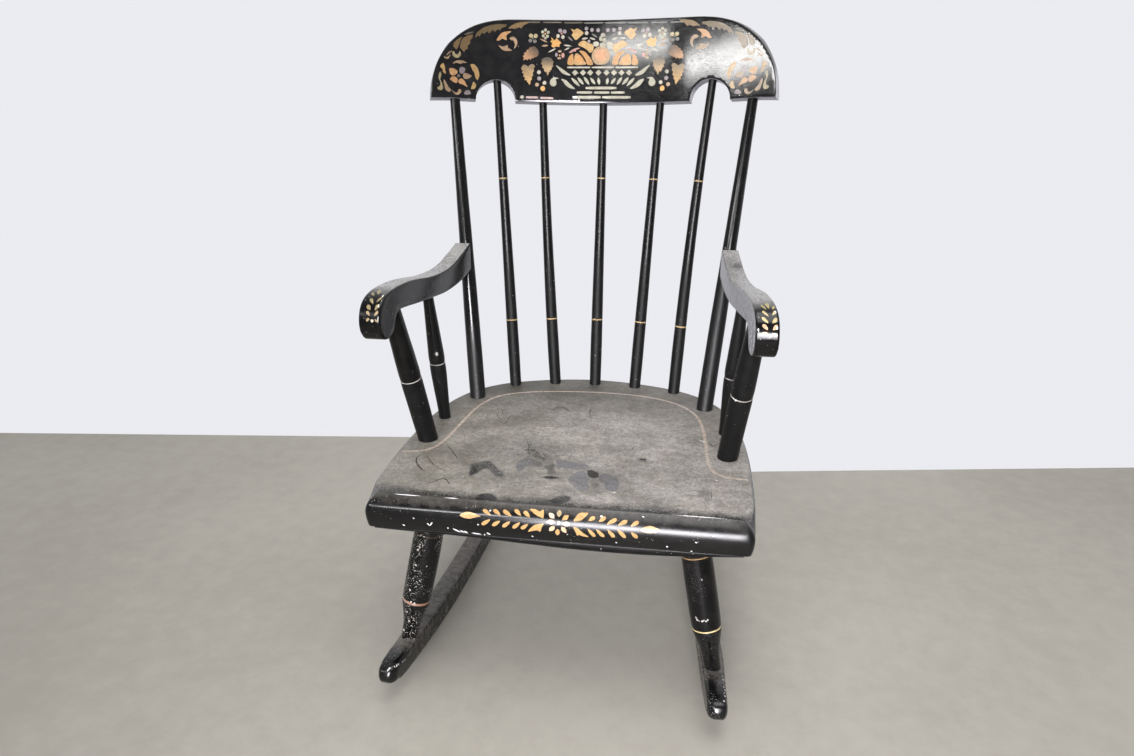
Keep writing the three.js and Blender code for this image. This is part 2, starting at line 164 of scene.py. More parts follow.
# ------------------------------------------------------------------ flat shapes for painted ornament
def spline(points, n=8, closed=False):
    """Smooth curve through the points."""
    p = np.asarray(points, float)
    m = len(p)
    out = []
    seg = m if closed else m - 1
    for i in range(seg):
        if closed:
            p0, p1, p2, p3 = p[(i - 1) % m], p[i], p[(i + 1) % m], p[(i + 2) % m]
        else:
            p1, p2 = p[i], p[i + 1]
            p0 = p[i - 1] if i > 0 else 2 * p1 - p2
            p3 = p[i + 2] if i + 2 < m else 2 * p2 - p1
        for k in range(n):
            t = k / n
            out.append(0.5 * ((2 * p1) + (-p0 + p2) * t + (2 * p0 - 5 * p1 + 4 * p2 - p3) * t * t + (-p0 + 3 * p1 - 3 * p2 + p3) * t ** 3))
    if not closed:
        out.append(p[-1])
    return np.array(out)


def interp_smooth(xs, ys, q):
    """Monotone cubic through the points (xs rising)."""
    xs = np.asarray(xs, float)
    ys = np.asarray(ys, float)
    h = np.diff(xs)
    d = np.diff(ys) / h
    m = np.zeros(len(xs))
    m[0], m[-1] = d[0], d[-1]
    for i in range(1, len(xs) - 1):
        if d[i - 1] * d[i] > 0:
            w1, w2 = 2 * h[i] + h[i - 1], h[i] + 2 * h[i - 1]
            m[i] = (w1 + w2) / (w1 / d[i - 1] + w2 / d[i])
    q = np.clip(np.asarray(q, float), xs[0], xs[-1])
    i = np.clip(np.searchsorted(xs, q) - 1, 0, len(h) - 1)
    t = (q - xs[i]) / h[i]
    return ((2 * t ** 3 - 3 * t ** 2 + 1) * ys[i] + (t ** 3 - 2 * t ** 2 + t) * h[i] * m[i]
            + (-2 * t ** 3 + 3 * t ** 2) * ys[i + 1] + (t ** 3 - t ** 2) * h[i] * m[i + 1])


def poly_area(p):
    p = np.asarray(p)
    x, y = p[:, 0], p[:, 1]
    return 0.5 * float(np.sum(x * np.roll(y, -1) - np.roll(x, -1) * y))


def inside(poly, pts):
    poly = np.asarray(poly, float)
    pts = np.asarray(pts, float)
    x, y = pts[:, 0], pts[:, 1]
    r = np.zeros(len(pts), bool)
    a = poly
    b = np.roll(poly, -1, axis=0)
    for (x1, y1), (x2, y2) in zip(a, b):
        c = ((y1 > y) != (y2 > y))
        if not c.any():
            continue
        xi = (x2 - x1) * (y - y1) / ((y2 - y1) if y2 != y1 else 1e-12) + x1
        r ^= c & (x < xi)
    return r


def offset_poly(p, d):
    """Moves a closed anticlockwise outline inwards by d."""
    p = np.asarray(p, float)
    a = np.roll(p, 1, axis=0)
    b = np.roll(p, -1, axis=0)
    t1 = p - a
    t2 = b - p
    t1 /= np.linalg.norm(t1, axis=1, keepdims=True)
    t2 /= np.linalg.norm(t2, axis=1, keepdims=True)
    n1 = np.stack([-t1[:, 1], t1[:, 0]], 1)
    n2 = np.stack([-t2[:, 1], t2[:, 0]], 1)
    s = n1 + n2
    k = np.minimum(1.5, 2.0 / np.maximum(0.3, (s * s).sum(1)))
    return p + s * (k * d)[:, None]


def patch(body, boundary, shapes, place, spacing, mark=None, extra=None):
    """Fills a flat outline (anticlockwise), cut along the painted shapes, and lays it on a surface.
    shapes: list of (outline, tone) where tone is a colour (r, g, b, a) or a function of points to colours."""
    boundary = np.asarray(boundary, float)
    coords = [tuple(q) for q in boundary]
    faces = [list(range(len(boundary)))]
    for outline, _ in shapes:
        outline = np.asarray(outline, float)
        if poly_area(outline) < 0:
            outline = outline[::-1]
        base = len(coords)
        coords += [tuple(q) for q in outline]
        faces.append(list(range(base, base + len(outline))))
    lo, hi = boundary.min(0), boundary.max(0)
    gx = np.arange(lo[0] + spacing * 0.5, hi[0], spacing)
    gy = np.arange(lo[1] + spacing * 0.5, hi[1], spacing)
    G = np.stack(np.meshgrid(gx, gy), -1).reshape(-1, 2)
    if len(G):
        inner = offset_poly(boundary, np.full(len(boundary), spacing * 0.45))
        G = G[inside(inner, G)]
        coords += [tuple(q) for q in G]
    if extra is not None:
        coords += [tuple(q) for q in extra]
    vo, _, fo, _, _, of = delaunay_2d_cdt([Vector(c) for c in coords], [], faces, 1, 1e-5, True)
    V2 = np.array([[q.x, q.y] for q in vo])
    tris, paint = [], []
    for f, o in zip(fo, of):
        if 0 not in o:
            continue
        f = list(f)
        a, b, c = V2[f[0]], V2[f[1]], V2[f[2]]
        if (b[0] - a[0]) * (c[1] - a[1]) - (b[1] - a[1]) * (c[0] - a[0]) < 0:
            f = f[::-1]
        tris.append(f)
        top = max(o)
        if top == 0:
            paint.append((0, 0, 0, 0))
        else:
            tone = shapes[top - 1][1]
            if callable(tone):
                cols = tone(V2[f])
                paint.append([tuple(float(x) for x in q) for q in cols])
            else:
                paint.append(tuple(tone))
    P = place(V2)
    body.add(P, tris, paint, None if mark is None else mark(V2))


# ------------------------------------------------------------------ turned pieces
def turn(body, a, b, profile, bands=(), seg=44, low=None, high=None, sway=(0.0, 0.0), step=5.0, wobble=0.0, seed=0):
    """Turned body from a to b. profile: (distance along, radius); bands: (from, to, colour, how deep).
    low and high are heights at which the ends are cut level."""
    a, b = np.asarray(a, float), np.asarray(b, float)
    w = b - a
    L = np.linalg.norm(w)
    w = w / L
    u = np.cross([0.0, 1.0, 0.0], w)
    u /= np.linalg.norm(u)
    v = np.cross(w, u)
    ps = [p[0] for p in profile]
    pr = [p[1] for p in profile]
    s0, s1 = ps[0], ps[-1]
    st = set(np.linspace(s0, s1, int((s1 - s0) / step) + 2).tolist()) | set(float(p) for p in ps)
    for f, t, _, d in bands:
        st = {s for s in st if not (f - 1.6 < s < t + 1.6)}
        st |= {f, t, (f + t) / 2, f - 0.5, t + 0.5, f - 1.5, t + 1.5}
    st = sorted(s for s in st if s0 <= s <= s1)
    th = np.arange(seg) / seg * 2 * math.pi
    c, s_ = np.cos(th), np.sin(th)
    side = c[:, None] * u + s_[:, None] * v

    def radius(s):
        r = float(interp_smooth(ps, pr, s))
        for f, t, _, d in bands:
            if f - 0.01 <= s <= t + 0.01:
                r -= d * math.sin(math.pi * min(1, max(0, (s - f) / (t - f)))) if d else 0
        return r

    def ring(s):
        r = radius(s)
        k = math.sin(math.pi * (s - s0) / (s1 - s0))
        off = np.array([sway[0] * k, sway[1] * k, 0.0])
        rr = r * np.ones(seg)
        if wobble:
            rr = rr + np.array([wobble * noise.noise(Vector((math.cos(t) * 1.3 + seed, math.sin(t) * 1.3, s * 0.045))) for t in th])
        return a + w * s + off + side * rr[:, None]

    rings, marks = [], []
    first = last = None
    if low is not None:
        r = radius(s0)
        sstar = (low - a[2] - r * side[:, 2]) / w[2]
        first = a + side * r + w * sstar[:, None]
        st = [s for s in st if s > sstar.max() + 0.8]
    if high is not None:
        r = radius(s1)
        sstar = (high - a[2] - r * side[:, 2]) / w[2]
        last = a + side * r + w * sstar[:, None]
        st = [s for s in st if s < sstar.min() - 0.8]
    rows = [(None, first)] if first is not None else []
    rows += [(s, ring(s)) for s in st]
    if last is not None:
        rows.append((None, last))
    tones = []
    for (sa, _), (sb, _) in zip(rows[:-1], rows[1:]):
        tone = None
        if sa is not None and sb is not None:
            m = (sa + sb) / 2
            for f, t, col, _ in bands:
                if f <= m <= t:
                    tone = col
        tones.append(tone)
    rings_body(body, [r for _, r in rows], True, tones)


def lerp(a, b, t):
    return a + (b - a) * t


def smoothstep(x, lo, hi):
    t = np.clip((np.asarray(x, float) - lo) / (hi - lo), 0, 1)
    return t * t * (3 - 2 * t)


# ------------------------------------------------------------------ slab with an outline and rounded edges
def slab(body, outline, place, depth, radius_front, radius_back, spacing=3.0, shapes=(), steps=5, back_spacing=8.0, mark=None, flip=False):
    """Flat board between depth -t and t with rounded edges. outline is anticlockwise as seen from the face at +t.
    place(points2, d) gives positions for outline points at depth d."""
    outline = np.asarray(outline, float)
    n = len(outline)
    rf = np.broadcast_to(np.asarray(radius_front, float), (n,))
    rb = np.broadcast_to(np.asarray(radius_back, float), (n,))
    t = depth
    angles = np.linspace(0, math.pi / 2, steps + 1)
    rings = []
    for q in angles[::-1]:                       # front face edge outwards
        inset = rf * (1 - math.cos(q))
        d = t - rf * (1 - math.sin(q))
        rings.append((offset_poly(outline, inset), d))
    for q in angles:
        inset = rb * (1 - math.cos(q))
        d = -t + rb * (1 - math.sin(q))
        rings.append((offset_poly(outline, inset), d))
    pts = [place(o, np.broadcast_to(d, (n,))) for o, d in rings]
    for k in range(len(pts) - 1):
        stitch(body, pts[k + 1], pts[k], True)
    front = offset_poly(outline, rf)
    back = offset_poly(outline, rb)
    patch(body, front, list(shapes), lambda P: place(P, np.full(len(P), t)), spacing, mark)
    nb = Body()
    patch(nb, back, [], lambda P: place(P, np.full(len(P), -t)), back_spacing)
    for vv, ff in ((nb.v[0], nb.f),):
        body.add(vv, [f[::-1] for f in ff])


def resample(points, step, closed=True, corner=25.0):
    """Even points along an outline; all given points are kept, corners among them. The corner angle is not used."""
    p = np.asarray(points, float)
    n = len(p)
    out = []
    rng_n = n if closed else n - 1
    for i in range(rng_n):
        a, b = p[i], p[(i + 1) % n]
        L = np.linalg.norm(b - a)
        m = max(1, int(round(L / step)))
        for k in range(m):
            out.append(a + (b - a) * k / m)
    if not closed:
        out.append(p[-1])
    return np.array(out)


# ------------------------------------------------------------------ seat plank
SEAT_HALF = [(0, 0), (60, 0), (120, 0), (165, 0), (182, 0), (187, 1.2), (189.6, 4.5), (190.2, 14), (190.8, 30), (192.3, 60), (193.3, 95),
             (193.4, 130), (192.6, 160), (190.8, 190), (187.4, 220), (182.6, 247), (175.5, 271), (166, 292), (152.5, 312),
             (136, 328), (116, 341.5), (92, 352), (64, 360.5), (33, 366.8), (0, 369.4)]
ROLL_R = 13.4
EDGE_R = 6.0
# inset and height of the rounded front, from the top face down
ROLL_TOP = [(13.4, 0), (12.7, -0.1), (11.9, -0.5), (10.8, -1.3), (9.4, -2.45), (7.9, -3.7), (6.4, -5.0), (5.0, -6.35), (3.85, -7.65), (2.9, -8.95), (2.15, -10.2), (1.5, -11.6),
            (0.85, -13.4), (0.3, -15.4), (0, -17.2)]
ROLL_LOW = [(0.05, -20), (0.3, -23.5), (0.8, -27), (1.5, -30), (2.1, -32.2)]
SEAT_T = 33.0
SEAT_C = np.array([0.0, 178.0])
PANEL_X = 162.0


def seat_outline():
    right = SEAT_HALF[7:]
    mirrored = [(-x, y) for x, y in right[:-1]][::-1]
    rear = spline(right + mirrored, 6)
    front = [(x, 0.0) for x in np.arange(-PANEL_X, PANEL_X + 0.1, 3.0)]
    corner_r = spline([(PANEL_X, 0), (166, 0), (180, 0.05), (186.4, 1.3), (189.5, 5.2), (190.1, 14)], 4)[1:-1]
    corner_l = [(-x, y) for x, y in corner_r][::-1]
    rear = resample(rear, 3.5, closed=False)
    pts = [*front, *map(tuple, corner_r), *map(tuple, rear), *corner_l]
    out = []
    for q in pts:
        if not out or math.dist(out[-1], q) > 0.35:
            out.append(q)
    return np.array(out)


SEAT_OUT = seat_outline()


def seat_inset_dirs():
    P = SEAT_OUT
    a, b = np.roll(P, 1, axis=0), np.roll(P, -1, axis=0)
    t = b - a
    t /= np.linalg.norm(t, axis=1, keepdims=True)
    nrm = np.stack([-t[:, 1], t[:, 0]], 1)
    c = SEAT_C - P
    cl = np.linalg.norm(c, axis=1, keepdims=True)
    cu = c / cl
    k = 1.0 / np.maximum(0.35, (nrm * cu).sum(1))
    central = cu * k[:, None]
    straight = np.tile([0.0, 1.0], (len(P), 1))
    w = np.where(P[:, 1] < 20, smoothstep(np.abs(P[:, 0]), PANEL_X, 182), 1.0)[:, None]
    return straight * (1 - w) + central * w


SEAT_DIR = seat_inset_dirs()


def seat_ring(inset):
    return SEAT_OUT + SEAT_DIR * np.asarray(inset, float).reshape(-1, 1)


SEAT_RTOP = ROLL_R + (EDGE_R - ROLL_R) * smoothstep(SEAT_OUT[:, 1], 2, 45)
SEAT_TOP_EDGE = seat_ring(SEAT_RTOP)
_ang = np.arctan2(SEAT_TOP_EDGE[:, 1] - SEAT_C[1], SEAT_TOP_EDGE[:, 0] - SEAT_C[0])
_ord = np.argsort(_ang)
_ang_s, _rad_s = _ang[_ord], np.linalg.norm(SEAT_TOP_EDGE - SEAT_C, axis=1)[_ord]


def seat_dish(P):
    P = np.asarray(P, float)
    d = P - SEAT_C
    ang = np.arctan2(d[:, 1], d[:, 0])
    rad = np.interp(ang, _ang_s, _rad_s, period=2 * math.pi)
    t = np.linalg.norm(d, axis=1) / rad
    f = interp_smooth([0, 0.25, 0.5, 0.7, 0.84, 1.0], [1, 1, 0.85, 0.45, 0.06, 0], t)
    return -3.0 * f * smoothstep(P[:, 1], 20, 90)


STRIPE = [(-190, 107), (-172, 109.5), (-161, 115.5), (-154, 125), (-150.5, 138), (-148, 152), (-145.5, 180), (-142.5, 212), (-138.5, 243),
          (-131.5, 266), (-121.5, 284), (-106, 296.5), (-84, 306.5), (-56, 313.5), (-24, 318), (10, 319.6), (44, 317.2), (75, 311.2),
          (101, 299.5), (120, 284), (132.5, 265), (140, 243), (144, 216), (146, 186), (147, 154), (148.2, 128), (152, 110.5), (160, 100), (171.5, 95.2), (190, 94)]


def ribbon(points, width, n=5, thin=None):
    """Outline of a painted line along a smooth curve."""
    c = spline(points, n)
    t = np.gradient(c, axis=0)
    t /= np.linalg.norm(t, axis=1, keepdims=True)
    nrm = np.stack([-t[:, 1], t[:, 0]], 1)
    w = np.full(len(c), width / 2.0)
    if thin is not None:
        w = w * thin(np.linspace(0, 1, len(c)))
    return np.vstack([c + nrm * w[:, None], (c - nrm * w[:, None])[::-1]])


def soft_spot(P, x0, y0, x1, y1, r, hard=0.5):
    """1 inside a rounded stroke, falling to 0 at its rim."""
    a, b = np.array([x0, y0], float), np.array([x1, y1], float)
    ab = b - a
    t = np.clip(((P - a) @ ab) / max(1e-9, ab @ ab), 0, 1)
    d = np.linalg.norm(P - (a + t[:, None] * ab), axis=1)
    return 1 - smoothstep(d, r * hard, r)


def seat_body():
    body = Body()
    sh = [(ribbon(STRIPE, 3.9, 5, lambda t: 0.62 + 0.38 * np.abs(2 * t - 1) ** 0.8), tone_line)] + seat_lines()
    # top
    fine = np.stack(np.meshgrid(np.arange(-119, 76, 2.0), np.arange(19, 136, 2.0)), -1).reshape(-1, 2)
    patch(body, SEAT_TOP_EDGE, sh, lambda P: np.column_stack([P, seat_dish(P)]), 3.0, seat_mark, fine)
    # rounding, side and lower rounding, outwards and down; the front has its own section
    n = len(SEAT_OUT)
    w = (1 - smoothstep(SEAT_OUT[:, 1], 2, 45))
    rings = []
    for k, (i, z) in enumerate(ROLL_TOP):
        q = math.pi / 2 * (1 - k / (len(ROLL_TOP) - 1))
        rings.append((w * i + (1 - w) * EDGE_R * (1 - math.cos(q)), w * z - (1 - w) * 0.85 * EDGE_R * (1 - math.sin(q))))
    steps = len(ROLL_TOP) - 1
    for k, (i, z) in enumerate(ROLL_LOW):
        rings.append((w * i, w * z + (1 - w) * (-9.5 - 4.8 * k)))
    low_r = 0.7 * w + 3.3 * (1 - w)
    for q in (30, 60, 90):
        q = math.radians(q)
        rings.append((w * 2.1 + low_r * (1 - math.cos(q)), -33 + low_r * (1 - math.sin(q))))
    pts = [np.column_stack([seat_ring(i), z]) for i, z in rings]
    on_panel = [(abs(x) <= PANEL_X + 0.01 and y < 0.01) for x, y in SEAT_OUT]
    last_panel = len(rings) - 4
    for k in range(len(pts) - 1):
        a, b = pts[k], pts[k + 1]
        v = np.concatenate([a, b])
        faces = []
        for i in range(n):
            j = (i + 1) % n
            if k < last_panel and on_panel[i] and on_panel[j]:
                continue
            faces.append([i, n + i, n + j, j])
        body.add(v, faces, None, np.concatenate([np.where(a[:, 2] > -6, 1, 0) * 0.0, np.zeros(n)]))
    # front panel: x against the length down the surface
    idx = [i for i in range(n) if on_panel[i]]
    xs = SEAT_OUT[idx, 0]
    prof = np.array([[r[idx[0]], z[idx[0]]] for r, z in rings[:last_panel + 1]])
    s = np.concatenate([[0], np.cumsum(np.linalg.norm(np.diff(prof, axis=0), axis=1))])
    PANEL_S.clear()
    PANEL_S.extend(s.tolist())

    def place(Q):
        inset = np.interp(-Q[:, 1], s, prof[:, 0])
        z = np.interp(-Q[:, 1], s, prof[:, 1])
        return np.column_stack([Q[:, 0], inset, z])

    lower = [(x, -s[-1]) for x in xs]
    upper = [(x, 0.0) for x in xs[::-1]]
    right = [(xs[-1], -q) for q in s[1:-1][::-1]]
    left = [(xs[0], -q) for q in s[1:-1]]
    patch(body, np.array([*lower, *right, *upper, *left]), roll_shapes(), place, 2.0, None, )
    # underside
    under = Body()
    edge = pts[-1][:, :2]
    patch(under, edge, [], lambda P: np.column_stack([P, np.full(len(P), -SEAT_T)]), 14.0)
    body.add(under.v[0], [f[::-1] for f in under.f])
    return body


PANEL_S = []


# ------------------------------------------------------------------ top rail
CREST_R = 437.0
CREST_T = 6.5
CREST_TOP = [(0, 458.2), (28, 458.4), (55, 458.8), (94, 459.1), (116, 459.2), (127, 458.7), (139, 457.4), (150, 455), (161, 451.3), (173.5, 444.6),
             (185, 435.2), (190.8, 429), (196.3, 421.2), (201.2, 412.4), (205.2, 402.5), (208.2, 390.5), (209.5, 378), (209.8, 368.4)]
NOTCH_X, NOTCH_HALF, NOTCH_TOP = 134.5, 24.0, 389.5


def crest_low(x):
    a = abs(x)
    base = 361.8 + 6.6 * min(1, (a / 190) ** 2)
    u = (a - NOTCH_X) / NOTCH_HALF
    return base + (NOTCH_TOP - base) * math.sqrt(max(0, 1 - u * u)) if abs(u) < 1 else base


def crest_y(x, z):
    x = np.asarray(x, float)
    return 402 - (CREST_R - np.sqrt(CREST_R ** 2 - x * x)) + 0.14 * (np.asarray(z, float) - 365)


def crest_place(P, d):
    x, z = P[:, 0], P[:, 1]
    s = x / CREST_R
    c = np.sqrt(1 - s * s)
    return np.column_stack([x - s * d, crest_y(x, z) - c * d, z - 0.33 * (CREST_T - d) * np.clip((430 - z) / 30, 0, 1)])


def crest_outline():
    low = []
    marks = sorted([-NOTCH_X - NOTCH_HALF, -NOTCH_X + NOTCH_HALF, NOTCH_X - NOTCH_HALF, NOTCH_X + NOTCH_HALF])
    stops = [-209.8, *marks, 209.8]
    for a, b in zip(stops[:-1], stops[1:]):
        mid = (a + b) / 2
        if abs(abs(mid) - NOTCH_X) < 1:
            for q in np.linspace(math.pi, 0, 25)[:-1]:
                xx = mid + NOTCH_HALF * math.cos(q)
                base = crest_low(a if xx < mid else b)
                low.append((xx, base + (NOTCH_TOP - base) * math.sin(q)))
        else:
            m = max(2, int((b - a) / 3.2))
            for k in range(m):
                xx = a + (b - a) * k / m
                low.append((xx, crest_low(xx) if abs(abs(xx) - NOTCH_X) >= NOTCH_HALF - 1e-6 else crest_low(0)))
    top_r = spline(CREST_TOP[::-1][:-1] + [(0, 458.2)] + [(-x, z) for x, z in CREST_TOP[1:]], 5)
    top_r = resample(top_r, 3.2, closed=False)
    pts = [tuple(p) for p in low] + [tuple(p) for p in top_r]
    out = []
    for q in pts:
        if not out or math.dist(out[-1], q) > 0.5:
            out.append(q)
    if math.dist(out[0], out[-1]) < 0.5:
        out.pop()
    return np.array(out)


def crest_body():
    body = Body()
    o = crest_outline()
    under = np.array([z < crest_low(x) + 0.8 and abs(x) < 208 for x, z in o])
    slab(body, o, crest_place, CREST_T, np.where(under, 0.5, 0.9), np.where(under, 2.7, 1.9), 3.0, crest_shapes(), 5, 9.0)
    return body


# ------------------------------------------------------------------ arms
ARM_UP = [(57, 151.5), (55.6, 160), (57.4, 169.5), (62.4, 178), (70.5, 183.8), (81, 187), (94, 188.6), (110, 188.8), (130, 187.9), (152, 185.3),
          (180, 181.2), (205, 179.2), (231, 178.9), (250, 180.8), (268, 184.4), (284, 188.8), (300, 193.2), (309.5, 195.6)]
ARM_DOWN = [(309.5, 162), (300, 159.4), (278, 155.6), (251, 153.2), (220, 152.9), (186, 155.6), (150, 158.9), (124, 161.8), (108, 163.2), (99, 162.6),
            (92, 157.6), (88.2, 150.4), (84.4, 145.2), (78, 142), (70, 141.2), (62.6, 144.2)]
ARM_HALF = 11.25


def arm_x(y):
    return 165.7 + 0.0922 * (311.6 - y)


def arm_place(side, Y, Z, d):
    Y = np.asarray(Y, float)
    k = (22.5 + (20 - 22.5) * np.clip((Y - 60) / 250, 0, 1)) / 22.5
    return np.column_stack([side * arm_x(Y) + d * k, Y, Z])


def arm_body(side):
    """Outline (y, z) anticlockwise seen from +X: along the underside to the rear, then forward along the top."""
    body = Body()
    lo = spline([ARM_UP[0], *ARM_DOWN[::-1]], 8)
    up = spline(ARM_UP[::-1], 8)
    lo = resample(lo, 2.6, closed=False)
    up = resample(up, 2.6, closed=False)
    end = [(309.5, z) for z in np.linspace(162, 195.6, 12)[1:-1]]
    outline = np.array([*map(tuple, lo), *end, *map(tuple, up)][:-1])
    n = len(outline)
    n_lo, n_end = len(lo), len(end)
    R = 2.4
    steps = 5
    rad = np.full(n, R)
    rad[n_lo - 1:n_lo + n_end + 1] = 1.6
    angles = np.linspace(0, math.pi / 2, steps + 1)
    t = ARM_HALF

    def place(o, d):
        return arm_place(side, o[:, 0], o[:, 1], d)

    front = [(offset_poly(outline, rad * (1 - math.cos(q))), t - rad * (1 - math.sin(q))) for q in angles[::-1]]
    back = [(offset_poly(outline, rad * (1 - math.cos(q))), -t + rad * (1 - math.sin(q))) for q in angles]
    for rows in (front, back):
        pts = [place(o, d) for o, d in rows]
        for k in range(len(pts) - 1):
            stitch(body, pts[k + 1], pts[k], True)
    # flat sides
    patch(body, front[0][0], [], lambda P: place(P, np.full(len(P), t)), 5.0)
    nb = Body()
    patch(nb, back[-1][0], [], lambda P: place(P, np.full(len(P), -t)), 5.0)
    body.add(nb.v[0], [f[::-1] for f in nb.f])
    # edge surface between the roundings, in columns; the nose is a painted panel
    cols = np.linspace(1, -1, 8)
    arc = np.concatenate([[0], np.cumsum(np.linalg.norm(np.diff(outline, axis=0), axis=1))])
    nose_from = n_lo + n_end + int(np.argmin(np.abs(outline[n_lo + n_end:, 0] - 118)))
    half_w = t - rad

    def column(c):
        return place(outline, half_w * c)

    grid = [column(c) for c in cols]
    for k in range(len(cols) - 1):
        a, b = grid[k + 1], grid[k]
        v = np.concatenate([a, b])
        faces = []
        for i in range(n):
            if i >= nose_from:
                continue
            j = (i + 1) % n
            faces.append([i, j, n + j, n + i])
        body.add(v, faces)
    # nose panel: u along the outline from its start, w across (+ towards +X)
    us = np.concatenate([arc[nose_from:], [arc[-1] + np.linalg.norm(outline[0] - outline[-1])]])
    oy = np.concatenate([outline[nose_from:, 0], [outline[0, 0]]])
    oz = np.concatenate([outline[nose_from:, 1], [outline[0, 1]]])
    w = t - R

    def place_nose(Q):
        return arm_place(side, np.interp(Q[:, 0], us, oy), np.interp(Q[:, 0], us, oz), -Q[:, 1])

    ring = [(u, -w) for u in us]
    ring += [(us[-1], w * -c) for c in cols[1:-1]]
    ring += [(u, w) for u in us[::-1]]
    ring += [(us[0], w * -c) for c in cols[1:-1][::-1]]
    patch(body, np.array(ring), arm_shapes(side, us, oy, oz), place_nose, 1.8)
    return body


# ------------------------------------------------------------------ rockers
ROCK_R = 1151.0
TOE = 0.064


def rock_arc(s):
    return ROCK_R - np.sqrt(ROCK_R ** 2 - np.asarray(s, float) ** 2)


def rocker_body(side):
    body = Body()
    z0 = float(rock_arc(30))

    def low(s):
        return float(rock_arc(s)) - z0 * min(1.0, (s / 60.0) ** 2)

    bottom = [(s, low(s)) for s in np.arange(-222, 222.1, 6.0)]
    nl = float(rock_arc(228)) - z0
    nose = [(222, low(222)), (230, nl + 0.7), (235.4, nl + 3.3), (238.0, nl + 7.2), (238.6, nl + 10.8), (237.2, nl + 15.0), (233.2, nl + 19.6), (223, None)]

    def high(s):
        return float(rock_arc(s)) - z0 + 22.6 + 3.5 * (1 - (s / 240) ** 2)

    nose[-1] = (223, high(223))
    nose = spline(nose, 5)[1:-1]
    top = [(s, high(s)) for s in np.arange(222, -222.1, -6.0)]
    rear = [tuple(p) for p in nose]
    fore = [(-y, z) for y, z in rear[::-1]]
    outline = np.array([*bottom, *rear, *top, *fore])
    n = len(outline)
    half = 11.75
    # rounder on top and at the ends than below
    up = np.zeros(n)
    up[len(bottom):] = 1.0
    ends = smoothstep(np.abs(outline[:, 0]), 205, 234)
    rad = 2.0 + 2.6 * up + 2.6 * ends
    ang = side * math.atan(TOE)
    ca, sa = math.cos(ang), math.sin(ang)

    def place(o, d):
        d = np.asarray(d, float).copy()
        tt = smoothstep(np.abs(o[:, 0]), 140, 236)
        outer = d * side > 0
        d = np.where(outer, d * (1 - 0.34 * tt), d)
        d = d * (1 - 0.22 * smoothstep(np.abs(o[:, 0]), 231, 240.5))
        x, y = d, o[:, 0]
        return np.column_stack([side * 151.5 + x * ca - y * sa, 196 + x * sa + y * ca, o[:, 1] - SEAT_Z])

    slab(body, outline, place, half, rad, rad, 5.0, (), 6, 5.0)
    return body


# ------------------------------------------------------------------ strip under the front edge
STRIP_LOW = [(-180, -34.6), (-160, -35.4), (-139, -36), (-118, -36.4), (-97, -36.8), (-62, -38.6), (-32, -40.8), (7, -42.6), (46, -43.2), (84, -42.8), (121, -41),
             (151, -37.6), (168, -35.8), (180, -34.6)]


def strip_body():
    body = Body()
    top = -SEAT_T + 0.6
    low = spline(STRIP_LOW, 6)
    low = resample(low, 3.2, closed=False)
    rings = []
    for x, z in low:
        h = top - z
        r = min(6.5, h * 0.72)
        sect = [(x, 3.0, top), (x, 2.6, top - 0.5)]
        for q in np.linspace(0, math.pi / 2, 8):
            sect.append((x, 2.4 + 0.9 * r * (1 - math.cos(q)), z + r * (1 - math.sin(q))))
        sect += [(x, 12.0, z + 0.0), (x, 20.5, z + 0.15), (x, 23.6, z + h * 0.25), (x, 24.6, z + h * 0.6), (x, 24.9, top)]
        rings.append(np.array(sect))
    n = len(rings[0])
    for a, b in zip(rings[:-1], rings[1:]):
        stitch(body, b, a, True)
    for ring, flip in ((rings[0], False), (rings[-1], True)):
        c = ring.mean(0)
        f = [[n, (i + 1) % n, i] if flip else [n, i, (i + 1) % n] for i in range(n)]
        body.add(np.vstack([ring, c]), f)
    return body


# ------------------------------------------------------------------ painted ornament
def tint(r, g, b, a=1.0):
    """Colour from 0..255 display values."""
    return tuple(((c / 255 + 0.055) / 1.055) ** 2.4 for c in (r, g, b)) + (a,)


TONES = {
    "gold": tint(190, 156, 104), "amber": tint(208, 158, 92), "orange": tint(200, 154, 108), "tan": tint(168, 142, 114), "sand": tint(172, 160, 124),
    "cream": tint(162, 160, 141), "pale": tint(176, 171, 156), "mauve": tint(152, 142, 146, 0.9), "grey": tint(122, 122, 116, 0.85), "rose": tint(186, 140, 130),
    "pinkish": tint(192, 166, 160, 0.85), "melon": tint(180, 134, 80), "moss": tint(128, 106, 74, 0.95), "mossR": tint(118, 102, 72, 0.92), "dim": tint(112, 106, 92, 0.8),
    "line": tint(196, 154, 130, 0.85), "hair": tint(60, 57, 50, 0.95), "soot": tint(34, 34, 32, 1.0), "smear": tint(88, 84, 78, 0.6), "lint": tint(222, 222, 216, 1.0), "peachy": tint(214, 182, 150), "petal": tint(218, 202, 176), "scrape_and_glint": tint(224, 223, 226, 1.0),
}
FADES = {
    "fadeR": (tint(176, 138, 102), tint(90, 78, 70, 0.7), (0.25, 0.0), (0.9, 1.0)),
    "fadeC": (tint(186, 152, 100), tint(134, 118, 94, 0.9), (0.5, 0.15), (0.4, 1.0)),
    "fadeT": (tint(172, 146, 108), tint(90, 84, 74, 0.75), (0.5, 0.3), (0.5, 0.98)),
}
GLOWS = {"melon2": (tint(204, 146, 84), tint(174, 140, 94)), "peach": (tint(212, 150, 110), tint(164, 140, 106))}


